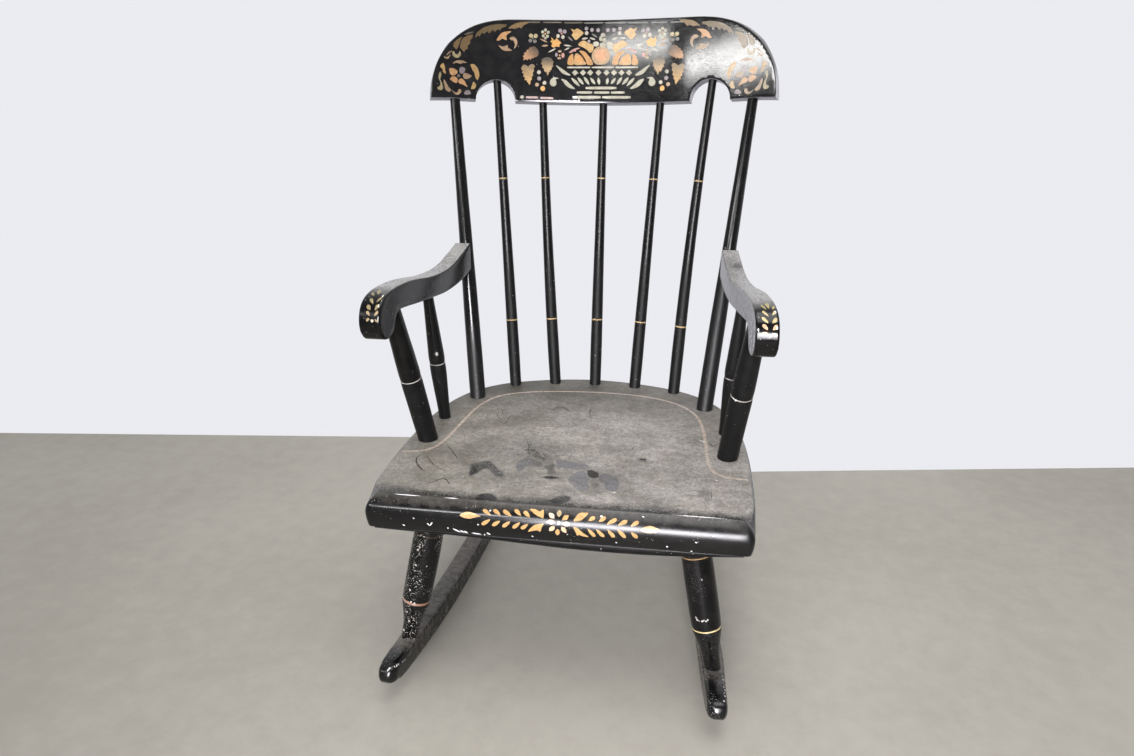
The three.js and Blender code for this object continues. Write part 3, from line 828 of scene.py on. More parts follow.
def tone_of(code, outline, flip=False):
    if code in TONES:
        return TONES[code]
    lo, hi = outline.min(0), outline.max(0)
    if code in FADES:
        a, b, p, q = FADES[code]
        if flip:
            p, q = (1 - p[0], p[1]), (1 - q[0], q[1])
        p = lo + (hi - lo) * np.array(p)
        q = lo + (hi - lo) * np.array(q)

        def fade(P):
            t = smoothstep(((P - p) @ (q - p)) / ((q - p) @ (q - p)), 0, 1)
            return [tuple(np.array(a) * (1 - k) + np.array(b) * k) for k in t]
        return fade
    a, b = GLOWS[code]
    c = (lo + hi) / 2
    r = (hi - lo) / 2

    def glow(P):
        t = smoothstep(np.linalg.norm((P - c) / r, axis=1), 0.15, 0.95)
        return [tuple(np.array(a) * (1 - k) + np.array(b) * k) for k in t]
    return glow


def blob(c, rx, ry, n=14, turn_by=0.0):
    q = np.arange(n) / n * 2 * math.pi
    x, y = rx * np.cos(q), ry * np.sin(q)
    ca, sa = math.cos(turn_by), math.sin(turn_by)
    return np.column_stack([c[0] + x * ca - y * sa, c[1] + x * sa + y * ca])


def stroke(a, b, half, n=9):
    """Outline round the line from a to b; half gives the half width at 0..1."""
    a, b = np.asarray(a, float), np.asarray(b, float)
    w = b - a
    nrm = np.array([-w[1], w[0]]) / np.linalg.norm(w)
    t = np.linspace(0, 1, n)
    h = half(t)
    left = a + w * t[:, None] + nrm * h[:, None]
    right = a + w * t[:, None] - nrm * h[:, None]
    return np.vstack([left[:-1], [b], right[1:-1][::-1]]) if h[0] < 1e-6 else np.vstack([left, right[::-1]])


def lens(a, b, w):
    return stroke(a, b, lambda t: w / 2 * np.sin(math.pi * t) ** 0.8)


def drop(a, b, w):
    return stroke(a, b, lambda t: w / 2 * 2.49 * np.sqrt(np.clip(t, 0, 1)) * np.clip(1 - t, 0, 1) ** 0.9, 12)


def bar(a, b, w):
    return stroke(a, b, lambda t: w / 2 * (0.72 + 0.28 * np.minimum(1, np.sin(math.pi * t) * 8)), 7)


def drawn(item, flip=None, dim=False):
    """Outline and tone of one item of a list; flip mirrors it about the given x."""
    kind, code, pts = item[0], item[1], np.array(item[2], float)
    more = item[3] if len(item) > 3 else None
    if flip is not None:
        pts = pts * [-1, 1] + [2 * flip, 0]
    if kind == "leaf":
        o = spline(pts, 3, True)
    elif kind == "poly":
        o = pts
    elif kind == "dot":
        o = blob(pts[0], *more)
    elif kind == "peach":
        o = blob(pts[0], more[0], more[1], 34)
        o[:, 1] = np.maximum(o[:, 1], more[2])
        keep = [i for i in range(len(o)) if math.dist(o[i], o[i - 1]) > 0.05]
        o = o[keep]
    elif kind == "lens":
        o = lens(pts[0], pts[1], more)
    elif kind == "drop":
        o = drop(pts[0], pts[1], more)
    else:
        o = bar(pts[0], pts[1], more)
    tone = tone_of(code, o, flip is not None)
    k = 1.0 - 0.38 * float(smoothstep(abs(pts[:, 0].mean()), 95, 150)) if dim else 1.0
    return o, (tone if k == 1.0 or callable(tone) else tuple(c * k for c in tone[:3]) + (tone[3],))


# top rail, mm across the middle of the board and mm up; the first list is mirrored to the right
CREST_SIDE = [
    ("poly", "moss", [(-119.9, 448.7), (-116.1, 452.2), (-110.2, 455.1), (-101.2, 456.5), (-93.6, 456.3), (-96.6, 454.5), (-101.1, 452.3), (-104.1, 448.8), (-106.4, 450.2), (-111.6, 448.4), (-114.6, 449.0)]),
    ("poly", "mossR", [(-159.5, 437.6), (-158, 442.6), (-154.4, 446.1), (-148.6, 449.7), (-141.3, 452.3), (-131, 453.9), (-121.4, 453.1), (-122.8, 450.7), (-127.3, 449.3), (-130.3, 446.4), (-132.5, 447.8), (-136.2, 444.5), (-138.1, 447.1), (-142.8, 442.8), (-144.9, 445.3), (-148.9, 442), (-151.2, 443.4), (-154.4, 439.1), (-155.8, 440.5)]),
    ("leaf", "dim", [(-172.3, 440.9), (-168.7, 443.1), (-164.4, 444.3), (-160.9, 444.2), (-163.7, 442.5), (-168, 441)]),
    ("poly", "moss", [(-176.9, 426.8), (-175.9, 432.4), (-173, 437.4), (-167.3, 440.3), (-161.6, 441.5), (-162.3, 437.6), (-165.2, 434.7), (-164.8, 431.2), (-168.1, 428.3), (-168.1, 424.8), (-171, 423.4), (-172, 420.8), (-174.5, 423.3)]),
    ("leaf", "moss", [(-184.6, 428.1), (-183.2, 432), (-180.1, 435.2), (-174.4, 438.1), (-176.6, 433.8), (-178, 428.9), (-180.9, 424.2), (-183, 426)]),
    ("leaf", "tan", [(-192.5, 417.9), (-189.9, 420.6), (-186.2, 422.9), (-186.8, 421.2), (-189.6, 418.9), (-191.6, 417.5)]),
    ("leaf", "tan", [(-195, 416.7), (-193, 415.3), (-191, 415.6), (-187.9, 418), (-188.5, 415.7), (-190.4, 413.1), (-193, 413.3), (-194.8, 414.9)]),
    ("leaf", "sand", [(-185.4, 421.2), (-183.5, 421.9), (-182.6, 419.2), (-180.3, 418.4), (-178, 420.4), (-177.5, 422.2), (-176, 420.4), (-176.2, 417.4), (-178.1, 415.1), (-181.3, 414.4), (-184.2, 416), (-185.3, 418.5)]),
    ("leaf", "orange", [(-133.9, 435.1), (-131.5, 439.5), (-127.9, 443.4), (-123.1, 445.1), (-116, 445.4), (-119.9, 442.6), (-122.1, 439.8), (-121.6, 435.7), (-124.2, 435.9), (-127.1, 437), (-130.5, 434.9)]),
    ("leaf", "tan", [(-118.2, 437.1), (-115.8, 439.1), (-111.6, 438.3), (-108.9, 434.2), (-109.4, 429.1), (-112.8, 425.4), (-111.7, 430.2), (-113.3, 434.8), (-115.5, 435)]),
    ("leaf", "tan", [(-131.6, 429.6), (-128.6, 428.2), (-125, 428.1), (-120.7, 429.5), (-119.9, 426.5), (-115.2, 423.7), (-120.1, 422.8), (-124.9, 423.3), (-128.6, 425.6)]),
    ("leaf", "tan", [(-185.6, 407.8), (-182.7, 410.4), (-178.1, 411.8), (-173.5, 411.2), (-168.9, 408.8), (-173.5, 408.5), (-177, 407.4), (-180.4, 408.7)]),
    ("leaf", "gold", [(-164.8, 407), (-160.2, 407), (-156.1, 401.7), (-154.5, 394.7), (-156.7, 388.9), (-159.3, 392.4), (-160.3, 397), (-163.1, 401.7)]),
    ("leaf", "gold", [(-161.5, 387.1), (-158.3, 383.1), (-160.2, 378.9), (-164.5, 378.4), (-163.2, 383.1)]),
    ("leaf", "gold", [(-199, 405.9), (-195.7, 408.3), (-194.5, 404.8), (-193.9, 400.3), (-193, 396.1), (-196.4, 397.9), (-197, 401.4), (-199.2, 403.6)]),
    ("leaf", "sand", [(-199.3, 398.6), (-198.3, 394.5), (-199.6, 389.9), (-197.7, 385.3), (-196.6, 380.2), (-198.4, 377.2), (-201.7, 377.8), (-203, 380.2), (-200, 382.4), (-199.5, 386.4), (-201.4, 391), (-201, 395.6)]),
    ("leaf", "tan", [(-195.2, 389.5), (-192.6, 385.3), (-190.5, 380.9), (-187.4, 377.2), (-189.9, 375.3), (-193.3, 377.2), (-194.9, 381.8), (-195.8, 386.4)]),
    ("leaf", "tan", [(-186.5, 377.4), (-183.1, 374.6), (-179.8, 375.1), (-179.2, 377.9), (-176.5, 378.1), (-175.9, 374.9), (-179.1, 371.6), (-183.7, 373)]),
    ("leaf", "mauve", [(-172.7, 373), (-170.3, 376.5), (-166.8, 376.9), (-164.5, 373.2), (-168.7, 371.8)]),
    ("leaf", "orange", [(-188.9, 402.6), (-182.8, 401.5), (-179.8, 398.5), (-182.3, 394.9), (-186.3, 394.1), (-188.7, 397.3)]),
    ("leaf", "mauve", [(-177, 403.4), (-173.6, 403.9), (-171, 401.6), (-171.8, 398.6), (-175.4, 396), (-177.9, 399.2)]),
    ("leaf", "tan", [(-173.7, 394.1), (-171.8, 397.2), (-167.8, 396), (-163.5, 393.5), (-167.9, 390.4), (-172.1, 390.5)]),
    ("leaf", "orange", [(-188.7, 389.9), (-185.2, 393.1), (-181.1, 391.8), (-179.8, 388.8), (-181.1, 385.1), (-185.2, 386.9)]),
    ("leaf", "orange", [(-179, 388.8), (-175.4, 390.7), (-171.9, 387.7), (-170, 383.6), (-168.3, 380.8), (-173.8, 383.5), (-178, 384.9)]),
    ("dot", "grey", [(-178.6, 393.7)], (1.8, 1.7)),
    ("dot", "sand", [(-92, 440.6)], (2.6, 2.4)),
    ("dot", "sand", [(-86.2, 440.3)], (2.6, 2.4)),
    ("dot", "grey", [(-89.6, 437.7)], (1.1, 1.1)),
    ("dot", "grey", [(-92.8, 434.9)], (2.4, 2.1)),
    ("dot", "grey", [(-87.2, 434.2)], (2.4, 2.1)),
    ("dot", "grey", [(-89.6, 437.7)], (1.1, 1.1)),
    ("dot", "cream", [(-77.6, 444.9)], (1.9, 1.8)),
    ("dot", "cream", [(-74.1, 447.2)], (1.8, 1.8)),
    ("dot", "cream", [(-74.2, 437.8)], (1.8, 1.7)),
    ("dot", "cream", [(-70.6, 444.6)], (1.9, 1.8)),
    ("dot", "gold", [(-74.3, 442.8)], (1.1, 1.1)),
    ("dot", "cream", [(-76.9, 440.4)], (1.8, 1.9)),
    ("dot", "cream", [(-71.6, 439.9)], (1.8, 1.9)),
    ("dot", "gold", [(-74.3, 442.8)], (1.1, 1.1)),
    ("dot", "mauve", [(-55.7, 446.4)], (2.5, 2.3)),
    ("dot", "mauve", [(-50.2, 445.3)], (2.5, 2.3)),
    ("dot", "rose", [(-53.9, 443)], (1.1, 1.1)),
    ("dot", "pale", [(-58.4, 440.2)], (2.1, 2.3)),
    ("dot", "pale", [(-52.2, 439.1)], (2.1, 2.3)),
    ("dot", "rose", [(-53.9, 443)], (1.1, 1.1)),
    ("dot", "tan", [(-55.9, 422.5)], (2.4, 1.3)),
    ("dot", "orange", [(-56, 417.9)], (1.1, 1.1)),
    ("dot", "mauve", [(-60, 418.5)], (1.6, 2.4)),
    ("dot", "rose", [(-51.7, 417.8)], (2, 2.9)),
    ("dot", "tan", [(-56.4, 414.6)], (2.5, 1.3)),
    ("leaf", "gold", [(-42.2, 448.4), (-37.7, 447), (-34.7, 448.8), (-30.6, 446.8), (-26.4, 443.5), (-30.7, 439.2), (-35.6, 435.6), (-39.5, 439), (-41.2, 441.4), (-39.4, 444.1)]),
    ("poly", "amber", [(-66.9, 439.1), (-64.1, 436.3), (-62.6, 435.2), (-60.1, 437.9), (-57.5, 435.4), (-53.7, 432.4), (-56.2, 430.5), (-56.4, 427.5), (-60.2, 428.2), (-63.9, 426.8), (-66.7, 428.7), (-65.3, 431.5), (-67.8, 434), (-66.1, 435.9)]),
    ("lens", "tan", [(-80.8, 437), (-71.5, 433.1)], 1.7),
    ("lens", "tan", [(-78.7, 428.7), (-70.2, 429.4)], 2.4),
    ("lens", "pale", [(-70.6, 421.3), (-60.2, 426.1)], 1.8),
    ("lens", "pale", [(-51.2, 429.8), (-41.3, 428.6)], 1.7),
    ("lens", "pale", [(-50.3, 423.8), (-43.5, 426.8)], 1.8),
    ("lens", "grey", [(-46.3, 439.5), (-39.4, 434.2)], 1.8),
    ("lens", "pale", [(-28.6, 436.6), (-20.5, 437.7)], 2.3),
    ("lens", "pale", [(-18.5, 437.9), (-11.1, 435.8)], 2.3),
    ("lens", "grey", [(-16.1, 442.5), (-8.6, 438.5)], 2),
    ("poly", "fadeR", [(-91.9, 427.5), (-88.2, 428.7), (-84.4, 425.8), (-82.1, 421.8), (-83.1, 417.7), (-86.2, 415.4), (-87.4, 416.5), (-88.6, 414.2), (-91.1, 415), (-92, 412.4), (-94.5, 414.1), (-96.1, 412.1), (-98.2, 413.6), (-101.4, 412), (-100.4, 415), (-101.9, 417.1), (-99.7, 418.5), (-100.5, 421), (-97.5, 421.7), (-97.3, 424.3), (-94.6, 424.5), (-94.1, 426.8)]),
    ("poly", "fadeC", [(-103.1, 404.8), (-100.4, 407.1), (-97.3, 406.4), (-95.4, 404.5), (-93.4, 406.6), (-90.5, 408), (-88, 407.1), (-86.7, 404.9), (-88.4, 402.5), (-87.9, 399.6), (-89.6, 397.8), (-88.8, 394.3), (-90.6, 392.8), (-90.3, 389.6), (-92, 388.6), (-92, 385.5), (-93.7, 383.1), (-95.2, 386.2), (-96.5, 387.1), (-97, 389), (-99.5, 389), (-98.8, 392), (-101.3, 393.3), (-100.3, 396.1), (-102.8, 397.7), (-101.6, 400.2), (-103.8, 401.9)]),
    ("poly", "fadeT", [(-74.9, 415.2), (-71.2, 415.9), (-67.4, 415.2), (-65, 412.7), (-63.2, 410.1), (-64.6, 407.8), (-63.8, 405), (-66.1, 403.6), (-65.5, 400.8), (-67.8, 401), (-67.5, 398.4), (-69.3, 398.9), (-69.5, 396.1), (-70.7, 394), (-71.7, 396.7), (-72.3, 398.9), (-73.8, 397.9), (-75.6, 400.8), (-75.4, 402.6), (-77.9, 403.6), (-77.2, 406.6), (-79.2, 408.3), (-78, 411.3), (-78.5, 413.1)]),
    ("leaf", "cream", [(-60.3, 406.1), (-55.2, 403.8), (-48.8, 399.6), (-41.6, 394.6), (-47.4, 395), (-52.6, 397.2), (-57, 401.9)]),
    ("leaf", "cream", [(-53.2, 390.2), (-47.3, 388.6), (-40.8, 383.1), (-35.6, 378.6), (-42, 379.5), (-47.2, 382.5), (-50.7, 386.6)]),
    ("leaf", "cream", [(-67.8, 386.7), (-65.8, 390.3), (-62, 392.2), (-56.3, 390.9), (-60.6, 389.9), (-59.2, 386.1), (-60.6, 382.4), (-64.4, 381.6), (-67.2, 383.7)]),
    ("dot", "pale", [(-81.6, 398.1)], (2.4, 2.3)),
    ("dot", "mauve", [(-81.3, 390.8)], (2.5, 2.4)),
    ("dot", "pale", [(-74.5, 385.8)], (2.4, 2.3)),
    ("dot", "tan", [(-83.9, 383.5)], (2.4, 2.3)),
    ("dot", "amber", [(-76.6, 378.9)], (3, 3.1)),
]
CREST_MIDDLE = [
    ("bar", "pale", [(-46.1, 403.8), (-16.8, 403.6)], 2),
    ("bar", "pale", [(-14.8, 403.6), (13.5, 403.5)], 2),
    ("bar", "pale", [(15.6, 403.4), (44, 403.4)], 2),
    ("poly", "cream", [(-40, 397.7), (-36.1, 394), (-32.1, 397.6), (-36, 401)]),
    ("poly", "cream", [(-29.8, 397.6), (-25.9, 394), (-21.9, 397.6), (-25.8, 401)]),
    ("poly", "cream", [(-20.5, 397.6), (-16.6, 393.9), (-12.6, 397.5), (-16.5, 401)]),
    ("poly", "cream", [(-10, 397.5), (-6.1, 393.9), (-2.1, 397.5), (-6, 400.9)]),
    ("poly", "cream", [(0.2, 397.5), (4.1, 393.8), (8.1, 397.4), (4.2, 400.8)]),
    ("poly", "cream", [(9.8, 397.4), (13.7, 393.8), (17.7, 397.4), (13.7, 400.8)]),
    ("poly", "cream", [(19.3, 397.4), (23.3, 393.7), (27.2, 397.3), (23.3, 400.7)]),
    ("poly", "cream", [(28.9, 397.3), (32.8, 393.7), (36.8, 397.2), (32.8, 400.6)]),
    ("lens", "cream", [(-40.6, 391.5), (-29.7, 381.5)], 3.7),
    ("lens", "cream", [(40.3, 391.2), (30, 381.3)], 3.7),
    ("lens", "cream", [(-33, 392.2), (-24.5, 383.4)], 3.7),
    ("lens", "cream", [(32.7, 391.9), (24.7, 383.2)], 3.7),
    ("lens", "cream", [(-24.7, 392.7), (-17.4, 383.2)], 3.7),
    ("lens", "cream", [(24.4, 392.4), (17.7, 383.1)], 3.7),
    ("lens", "cream", [(-16.4, 391.5), (-9.9, 383.9)], 3.7),
    ("lens", "cream", [(16.1, 391.3), (10.1, 383.9)], 3.7),
    ("lens", "cream", [(-6.3, 391.7), (-4.6, 383.3)], 3.7),
    ("lens", "cream", [(6, 391.6), (4.9, 383.3)], 3.7),
    ("leaf", "cream", [(58.3, 404.9), (53.4, 402.6), (47.2, 398.8), (40.6, 394), (46.6, 394.3), (51.4, 396.4), (55, 400.8)]),
    ("leaf", "cream", [(52.4, 389.7), (46.6, 388.2), (40.8, 382.8), (35.6, 378.4), (41.9, 379.3), (46.9, 382.2), (50.3, 386.2)]),
    ("bar", "cream", [(-22.1, 379.5), (17.5, 379.4)], 3.1),
    ("bar", "cream", [(-33.2, 374.2), (-13.7, 374.2)], 2.7),
    ("bar", "cream", [(-11.2, 374.1), (8.5, 374)], 2.7),
    ("bar", "cream", [(10.7, 374), (28, 374.1)], 2.7),
    ("bar", "cream", [(-38.7, 368.5), (-2.5, 368.5)], 3.2),
    ("bar", "cream", [(-0.5, 368.5), (36, 368.4)], 3.2),
    ("leaf", "melon", [(-45.2, 407.1), (-45.6, 412.4), (-43.1, 417.6), (-39.2, 419.4), (-38.3, 413.5), (-38.2, 407.1)]),
    ("leaf", "melon2", [(-36.9, 407.1), (-37.4, 413.5), (-36.5, 418.6), (-34, 420.1), (-28.9, 417), (-24.2, 411.1), (-22.8, 407.1)]),
    ("leaf", "melon", [(-31.2, 423), (-25.2, 422.4), (-20, 418.1), (-15.3, 412.3), (-13.6, 407), (-20.5, 407), (-23.2, 412.9), (-27.6, 418.7)]),
    ("leaf", "rose", [(-44.2, 420.9), (-40.4, 424.2), (-34.2, 426.4), (-30.4, 425.9), (-36.6, 423.7), (-40.4, 421.2)]),
    ("dot", "rose", [(-36.6, 423.1)], (1.1, 1.1)),
    ("leaf", "gold", [(-32.6, 429.7), (-29.9, 433.4), (-25.5, 434.8), (-21.7, 433.1), (-19.1, 431.4), (-15.3, 430.8), (-13, 427.3), (-14.2, 423), (-17.5, 420.6), (-21.4, 423.9), (-26.2, 426.9)]),
    ("peach", "peach", [(-3.5, 417)], (11.8, 11.2, 406.8)),
    ("leaf", "melon", [(11.4, 406.8), (11.7, 413.2), (15.5, 418.9), (20.5, 422.1), (27.3, 422.3), (22.4, 417.7), (19.1, 412), (18, 406.8)]),
    ("leaf", "melon2", [(20, 406.8), (21.4, 412), (26.3, 417.2), (30.7, 419.5), (33.6, 418.1), (34.8, 413), (34.5, 406.6)]),
    ("leaf", "melon", [(36.3, 406.6), (36.5, 413), (36.6, 418.5), (40.4, 416.8), (43.4, 411.7), (43.4, 406.5)]),
    ("leaf", "rose", [(42.1, 420.1), (38.1, 423.5), (31.8, 425.8), (28, 425.4), (34.4, 423.1), (38.3, 420.5)]),
    ("leaf", "gold", [(29.9, 429.1), (26.9, 432.8), (22.6, 434.3), (18.9, 432.7), (16.4, 431), (12.6, 430.5), (10.7, 427.1), (12.1, 422.8), (15.5, 420.3), (19.2, 423.5), (23.6, 426.4)]),
    ("dot", "mauve", [(-22.7, 448.6)], (2.4, 2.1)),
    ("dot", "mauve", [(-15.7, 446.9)], (2.3, 2.3)),
    ("dot", "mauve", [(-7.9, 446.5)], (2.4, 2.3)),
    ("dot", "pale", [(-22.4, 443.3)], (2.3, 2.3)),
    ("dot", "mauve", [(-19.2, 434)], (1.8, 1.7)),
    ("dot", "mauve", [(19.6, 448.1)], (2.4, 2.1)),
    ("dot", "mauve", [(12.1, 446.5)], (2.3, 2.3)),
    ("dot", "mauve", [(4.3, 446.6)], (2.4, 2.3)),
    ("dot", "pale", [(19.3, 442.8)], (2.3, 2.3)),
    ("dot", "mauve", [(16.3, 433.7)], (1.8, 1.7)),
    ("dot", "pale", [(-1.6, 441)], (2.8, 2.4)),
    ("dot", "cream", [(-4.3, 436.9)], (2, 3.1)),
    ("dot", "cream", [(0.3, 435)], (2.8, 2.6)),
    ("dot", "pale", [(-10.2, 430.7)], (4, 3)),
    ("dot", "pale", [(7.3, 430.3)], (4, 3)),
    ("dot", "cream", [(-1.8, 429.5)], (3.8, 3)),
    ("dot", "pale", [(-102.6, 368.9)], (2.4, 2)),
    ("bar", "pinkish", [(-97.6, 368.6), (-82.5, 368.3)], 2.6),
    ("bar", "pinkish", [(-79.7, 367.7), (-63, 367.5)], 2.6),
]
DASHES = [(-98, -81, 456.0), (-77, -54, 455.9), (-51, -28, 455.4), (-26, -2, 455.0), (0.4, 27, 454.9), (29, 54.5, 454.3), (57.6, 79, 454.0), (82, 100, 453.8)]


def crest_shapes():
    out = []
    for a, b, z in DASHES:
        o = bar((a, z), (b, z), 1.5)
        out.append((o, TONES["dim"] if a < -30 else TONES["grey"]))
    for item in CREST_SIDE:
        out.append(drawn(item, None, True))
        out.append(drawn(item, -0.6, True))
    for item in CREST_MIDDLE:
        out.append(drawn(item))
    return out


# front edge of the seat, mm across and mm down the surface
ROLL = [
    ("leaf", "gold", [(-91, -17.5), (-87.4, -14.7), (-82.6, -13.5), (-77.5, -14.5), (-73.4, -16.1), (-70.1, -17), (-75.4, -18.3), (-80.5, -20.1), (-85.4, -20), (-89.4, -18.8)]),
    ("drop", "gold", [(-68.6, -10.3), (-60.6, -15.3)], 3.9),
    ("drop", "gold", [(-58.4, -9.4), (-50.8, -14.6)], 3.9),
    ("drop", "gold", [(-49, -9.4), (-40.1, -14.7)], 3.9),
    ("drop", "gold", [(-37.5, -7.7), (-30.8, -13.7)], 3.9),
    ("drop", "gold", [(-28.6, -8.8), (-22, -14.4)], 3.9),
    ("drop", "gold", [(-69.3, -25.7), (-60.6, -19.2)], 3.9),
    ("drop", "gold", [(-58.9, -25.9), (-50.8, -19.9)], 3.9),
    ("drop", "gold", [(-48.5, -26.4), (-41, -19.7)], 3.9),
    ("drop", "gold", [(-38.7, -26.9), (-31.2, -19.9)], 3.9),
    ("drop", "gold", [(-30.6, -27), (-23.4, -21)], 3.9),
    ("leaf", "gold", [(-23, -6.4), (-17.8, -6), (-13.1, -8), (-9.7, -5.8), (-9, -14.1), (-11.5, -13.5), (-17.5, -11)]),
    ("leaf", "gold", [(-23.6, -29.3), (-20.6, -24.4), (-17.6, -21.8), (-13.2, -20.1), (-8.5, -19.7), (-10.2, -23.5), (-11.7, -28.3), (-14.8, -27.1), (-17.7, -27.7)]),
    ("petal", "petal", [(-1.1, -11.4)]),
    ("petal", "petal", [(-1.3, -17.2)]),
    ("petal", "peachy", [(-0.2, -23.7)]),
    ("petal", "gold", [(5.1, -27.1)]),
    ("petal", "peachy", [(11, -24.1)]),
    ("petal", "petal", [(13.1, -18)]),
    ("petal", "gold", [(12, -12.2)]),
    ("petal", "sand", [(5.7, -8.7)]),
    ("leaf", "gold", [(20, -14.4), (22.3, -10.1), (24.8, -6.7), (28.5, -5.8), (33.3, -6), (30.2, -10.8), (27.4, -13.4), (23.7, -14.6)]),
    ("leaf", "gold", [(20.2, -20.6), (24.8, -21.8), (29.6, -25.7), (35, -29.9), (29.1, -29.5), (25.8, -28.4), (23.9, -29.4), (22.2, -25)]),
    ("drop", "gold", [(40.2, -9.3), (34.2, -13.4)], 3.9),
    ("drop", "gold", [(50.5, -8.4), (44.1, -13.6)], 3.9),
    ("drop", "gold", [(61, -9.6), (51.8, -15.3)], 3.9),
    ("drop", "gold", [(71, -10.4), (62.5, -15.4)], 3.9),
    ("drop", "gold", [(81.7, -10.4), (74.3, -15.4)], 3.9),
    ("drop", "gold", [(41.3, -29.1), (33.9, -21)], 3.9),
    ("drop", "gold", [(49.8, -28.6), (41.9, -20.8)], 3.9),
    ("drop", "gold", [(59.6, -28.2), (52.9, -20.4)], 3.9),
    ("drop", "gold", [(70.2, -27.6), (61.7, -19)], 3.9),
    ("drop", "gold", [(81.3, -26.7), (74.9, -21.1)], 3.9),
    ("leaf", "gold", [(83.4, -18.4), (86.8, -15.5), (92.3, -13.7), (97, -14.7), (102.3, -17.4), (94.5, -20.3), (88, -20.3)]),
]
ROLL_HEART = np.array([5.9, -17.6])
DRAWN_AT = [0.0, 2.14, 4.28, 6.43, 8.57, 10.71, 12.85, 15.0, 17.14, 19.28, 21.42, 23.57, 25.71, 27.85, 29.99, 32.13, 34.28, 36.42, 38.56]
PLACED_AT = [0.0, 2.05, 4.05, 6.07, 8.16, 10.3, 12.46, 14.61, 16.73, 18.85, 20.95, 23.03, 25.17, 27.31, 29.45, 31.59, 33.74, 35.88, 38.02]


def softer(tone):
    return (tone[0] * 0.80, tone[1] * 0.76, tone[2] * 0.74, tone[3])


def roll_shapes():
    out = []
    for item in ROLL:
        if item[0] == "petal":
            c = np.array(item[2][0])
            w = c - ROLL_HEART
            w = w / np.linalg.norm(w)
            o = lens(c + w * 4.0, c - w * 3.5, 4.5)
            out.append((o, softer(TONES[item[1]])))
        else:
            o, tone = drawn(item)
            out.append((o, softer(tone)))
    out.append((blob(ROLL_HEART, 1.2, 2.1, 12), TONES["pale"]))
    out.append((blob((46.2, -8.2), 1.3, 0.9, 8), TONES["lint"]))
    out.append((blob((-61.5, -11.0), 1.0, 0.8, 8), TONES["lint"]))
    # scrapes, and pale lines along the ridge that are painted highlight
    for x0, s0, x1, s1, w in SCRAPES_AND_RIDGE_GLINTS:
        out.append((lens((x0, s0), (x1, s1), w * (1.35 if s0 < -30 else 1.0)), TONES["scrape_and_glint"]))
    for o, _ in out:
        o[:, 1] = -np.interp(-o[:, 1], DRAWN_AT, PLACED_AT)
    return out


SCRAPES_AND_RIDGE_GLINTS = [  # across, down, across, down, width
    (-163.2, -12.6, -166.2, -17.8, 1.7), (-124.6, -28.6, -121.8, -32.0, 0.9), (-121.8, -32.0, -118.8, -27.4, 0.9), (-104.4, -32.6, -102.8, -33.2, 1.1),
    (-98.9, -33.0, -91.0, -37.4, 1.3), (-91.6, -34.2, -87.2, -38.0, 1.0), (-88.0, -35.0, -84.0, -37.6, 1.4), (-80.2, -36.8, -70.0, -38.0, 1.1), (-73.4, -25.3, -72.2, -26.5, 1.1),
    (-68.0, -37.4, -66.4, -38.0, 1.0), (-64.8, -34.4, -61.2, -37.8, 1.1), (134.4, -26.1, 136.6, -26.9, 1.1), (165.6, -27.4, 167.6, -28.2, 1.2),
    (108.0, -33.8, 110.2, -34.6, 1.0), (130.8, -38.0, 132.8, -37.4, 1.0), (84.4, -5.0, 86.6, -5.8, 1.0), (-150.0, -33.0, -147.4, -34.6, 0.9), (-138.4, -24.0, -136.8, -25.2, 0.8),
    (-20.6, -34.4, -18.8, -35.2, 0.8), (60.2, -33.6, 62.4, -34.6, 0.8), (148.6, -17.8, 151.0, -18.4, 0.8),
    # painted highlight: these three long pale lines lie along the ridge of the rounded front and stand in for its glint
    (-161.0, -0.9, -133.0, -0.9, 1.1), (-110.0, -0.7, -94.6, -0.7, 0.9), (115.0, -0.7, 161.0, -0.7, 0.9),
]


# arm fronts, mm up from the lower rounding and mm across
NOSE_LEFT = [((12.3, 2.7), (15.4, -0.2), 3.0), ((12.0, -9.0), (14.6, -5.8), 3.0), ((22.4, 2.9), (17.4, -0.7), 3.2), ((23.2, -9.2), (17.6, -5.3), 3.4), ((28.7, 3.4), (23.0, -0.7), 4.2),
             ((29.8, -8.4), (23.4, -5.3), 4.4), ((37.0, 3.0), (30.0, -2.0), 3.4), ((39.6, -8.0), (32.0, -4.6), 3.0), ((55.0, 1.2), (43.5, -1.8), 4.6), ((47.5, 5.8), (40.5, 1.5), 3.0)]
NOSE_RIGHT = [((15.2, 4.9), (17.4, -0.2), 3.5), ((14.1, -9.2), (16.9, -4.0), 3.5), ((24.7, 4.2), (19.3, -0.2), 4.0), ((24.2, -9.2), (19.6, -4.6), 4.0), ((32.0, 4.7), (25.6, -0.7), 3.4),
              ((31.7, -9.0), (25.6, -4.3), 4.0), ((40.0, 3.4), (32.8, -1.4), 2.8), ((40.7, -8.7), (34.6, -5.3), 3.2), ((51.0, 3.2), (41.8, -0.5), 2.6), ((50.5, -9.2), (42.5, -6.0), 3.0),
              ((56.0, -2.5), (43.8, -3.0), 3.8)]


def arm_shapes(side, us, oy, oz):
    out = []
    end = us[-1]
    for (va, wa), (vb, wb), w in (NOSE_LEFT if side < 0 else NOSE_RIGHT):
        if side < 0:
            tone = tint(128, 118, 88) if va > 26 else tint(140, 124, 94)
        else:
            tone = tint(154, 144, 92) if va > 45 else tint(172, 156, 112) if va > 26 else tint(192, 160, 128)
        out.append((drop((end - va, wa), (end - vb, wb), w * 0.92), tone))
    c = (end - 12.8, -3.2) if side < 0 else (end - 14.5, -2.9)
    out.append((blob(c, 1.6, 1.6, 10), TONES["pale"]))
    for v, w, r in (((41.3, -7.9, 1.3), (28.0, -8.3, 1.3)) if side < 0 else ((39.3, -8.3, 1.2), (21.8, -8.3, 1.2), (19.3, 8.2, 1.1))):
        out.append((blob((end - v, w), r * 1.5, r * 0.6, 8), TONES["lint"]))
    return out


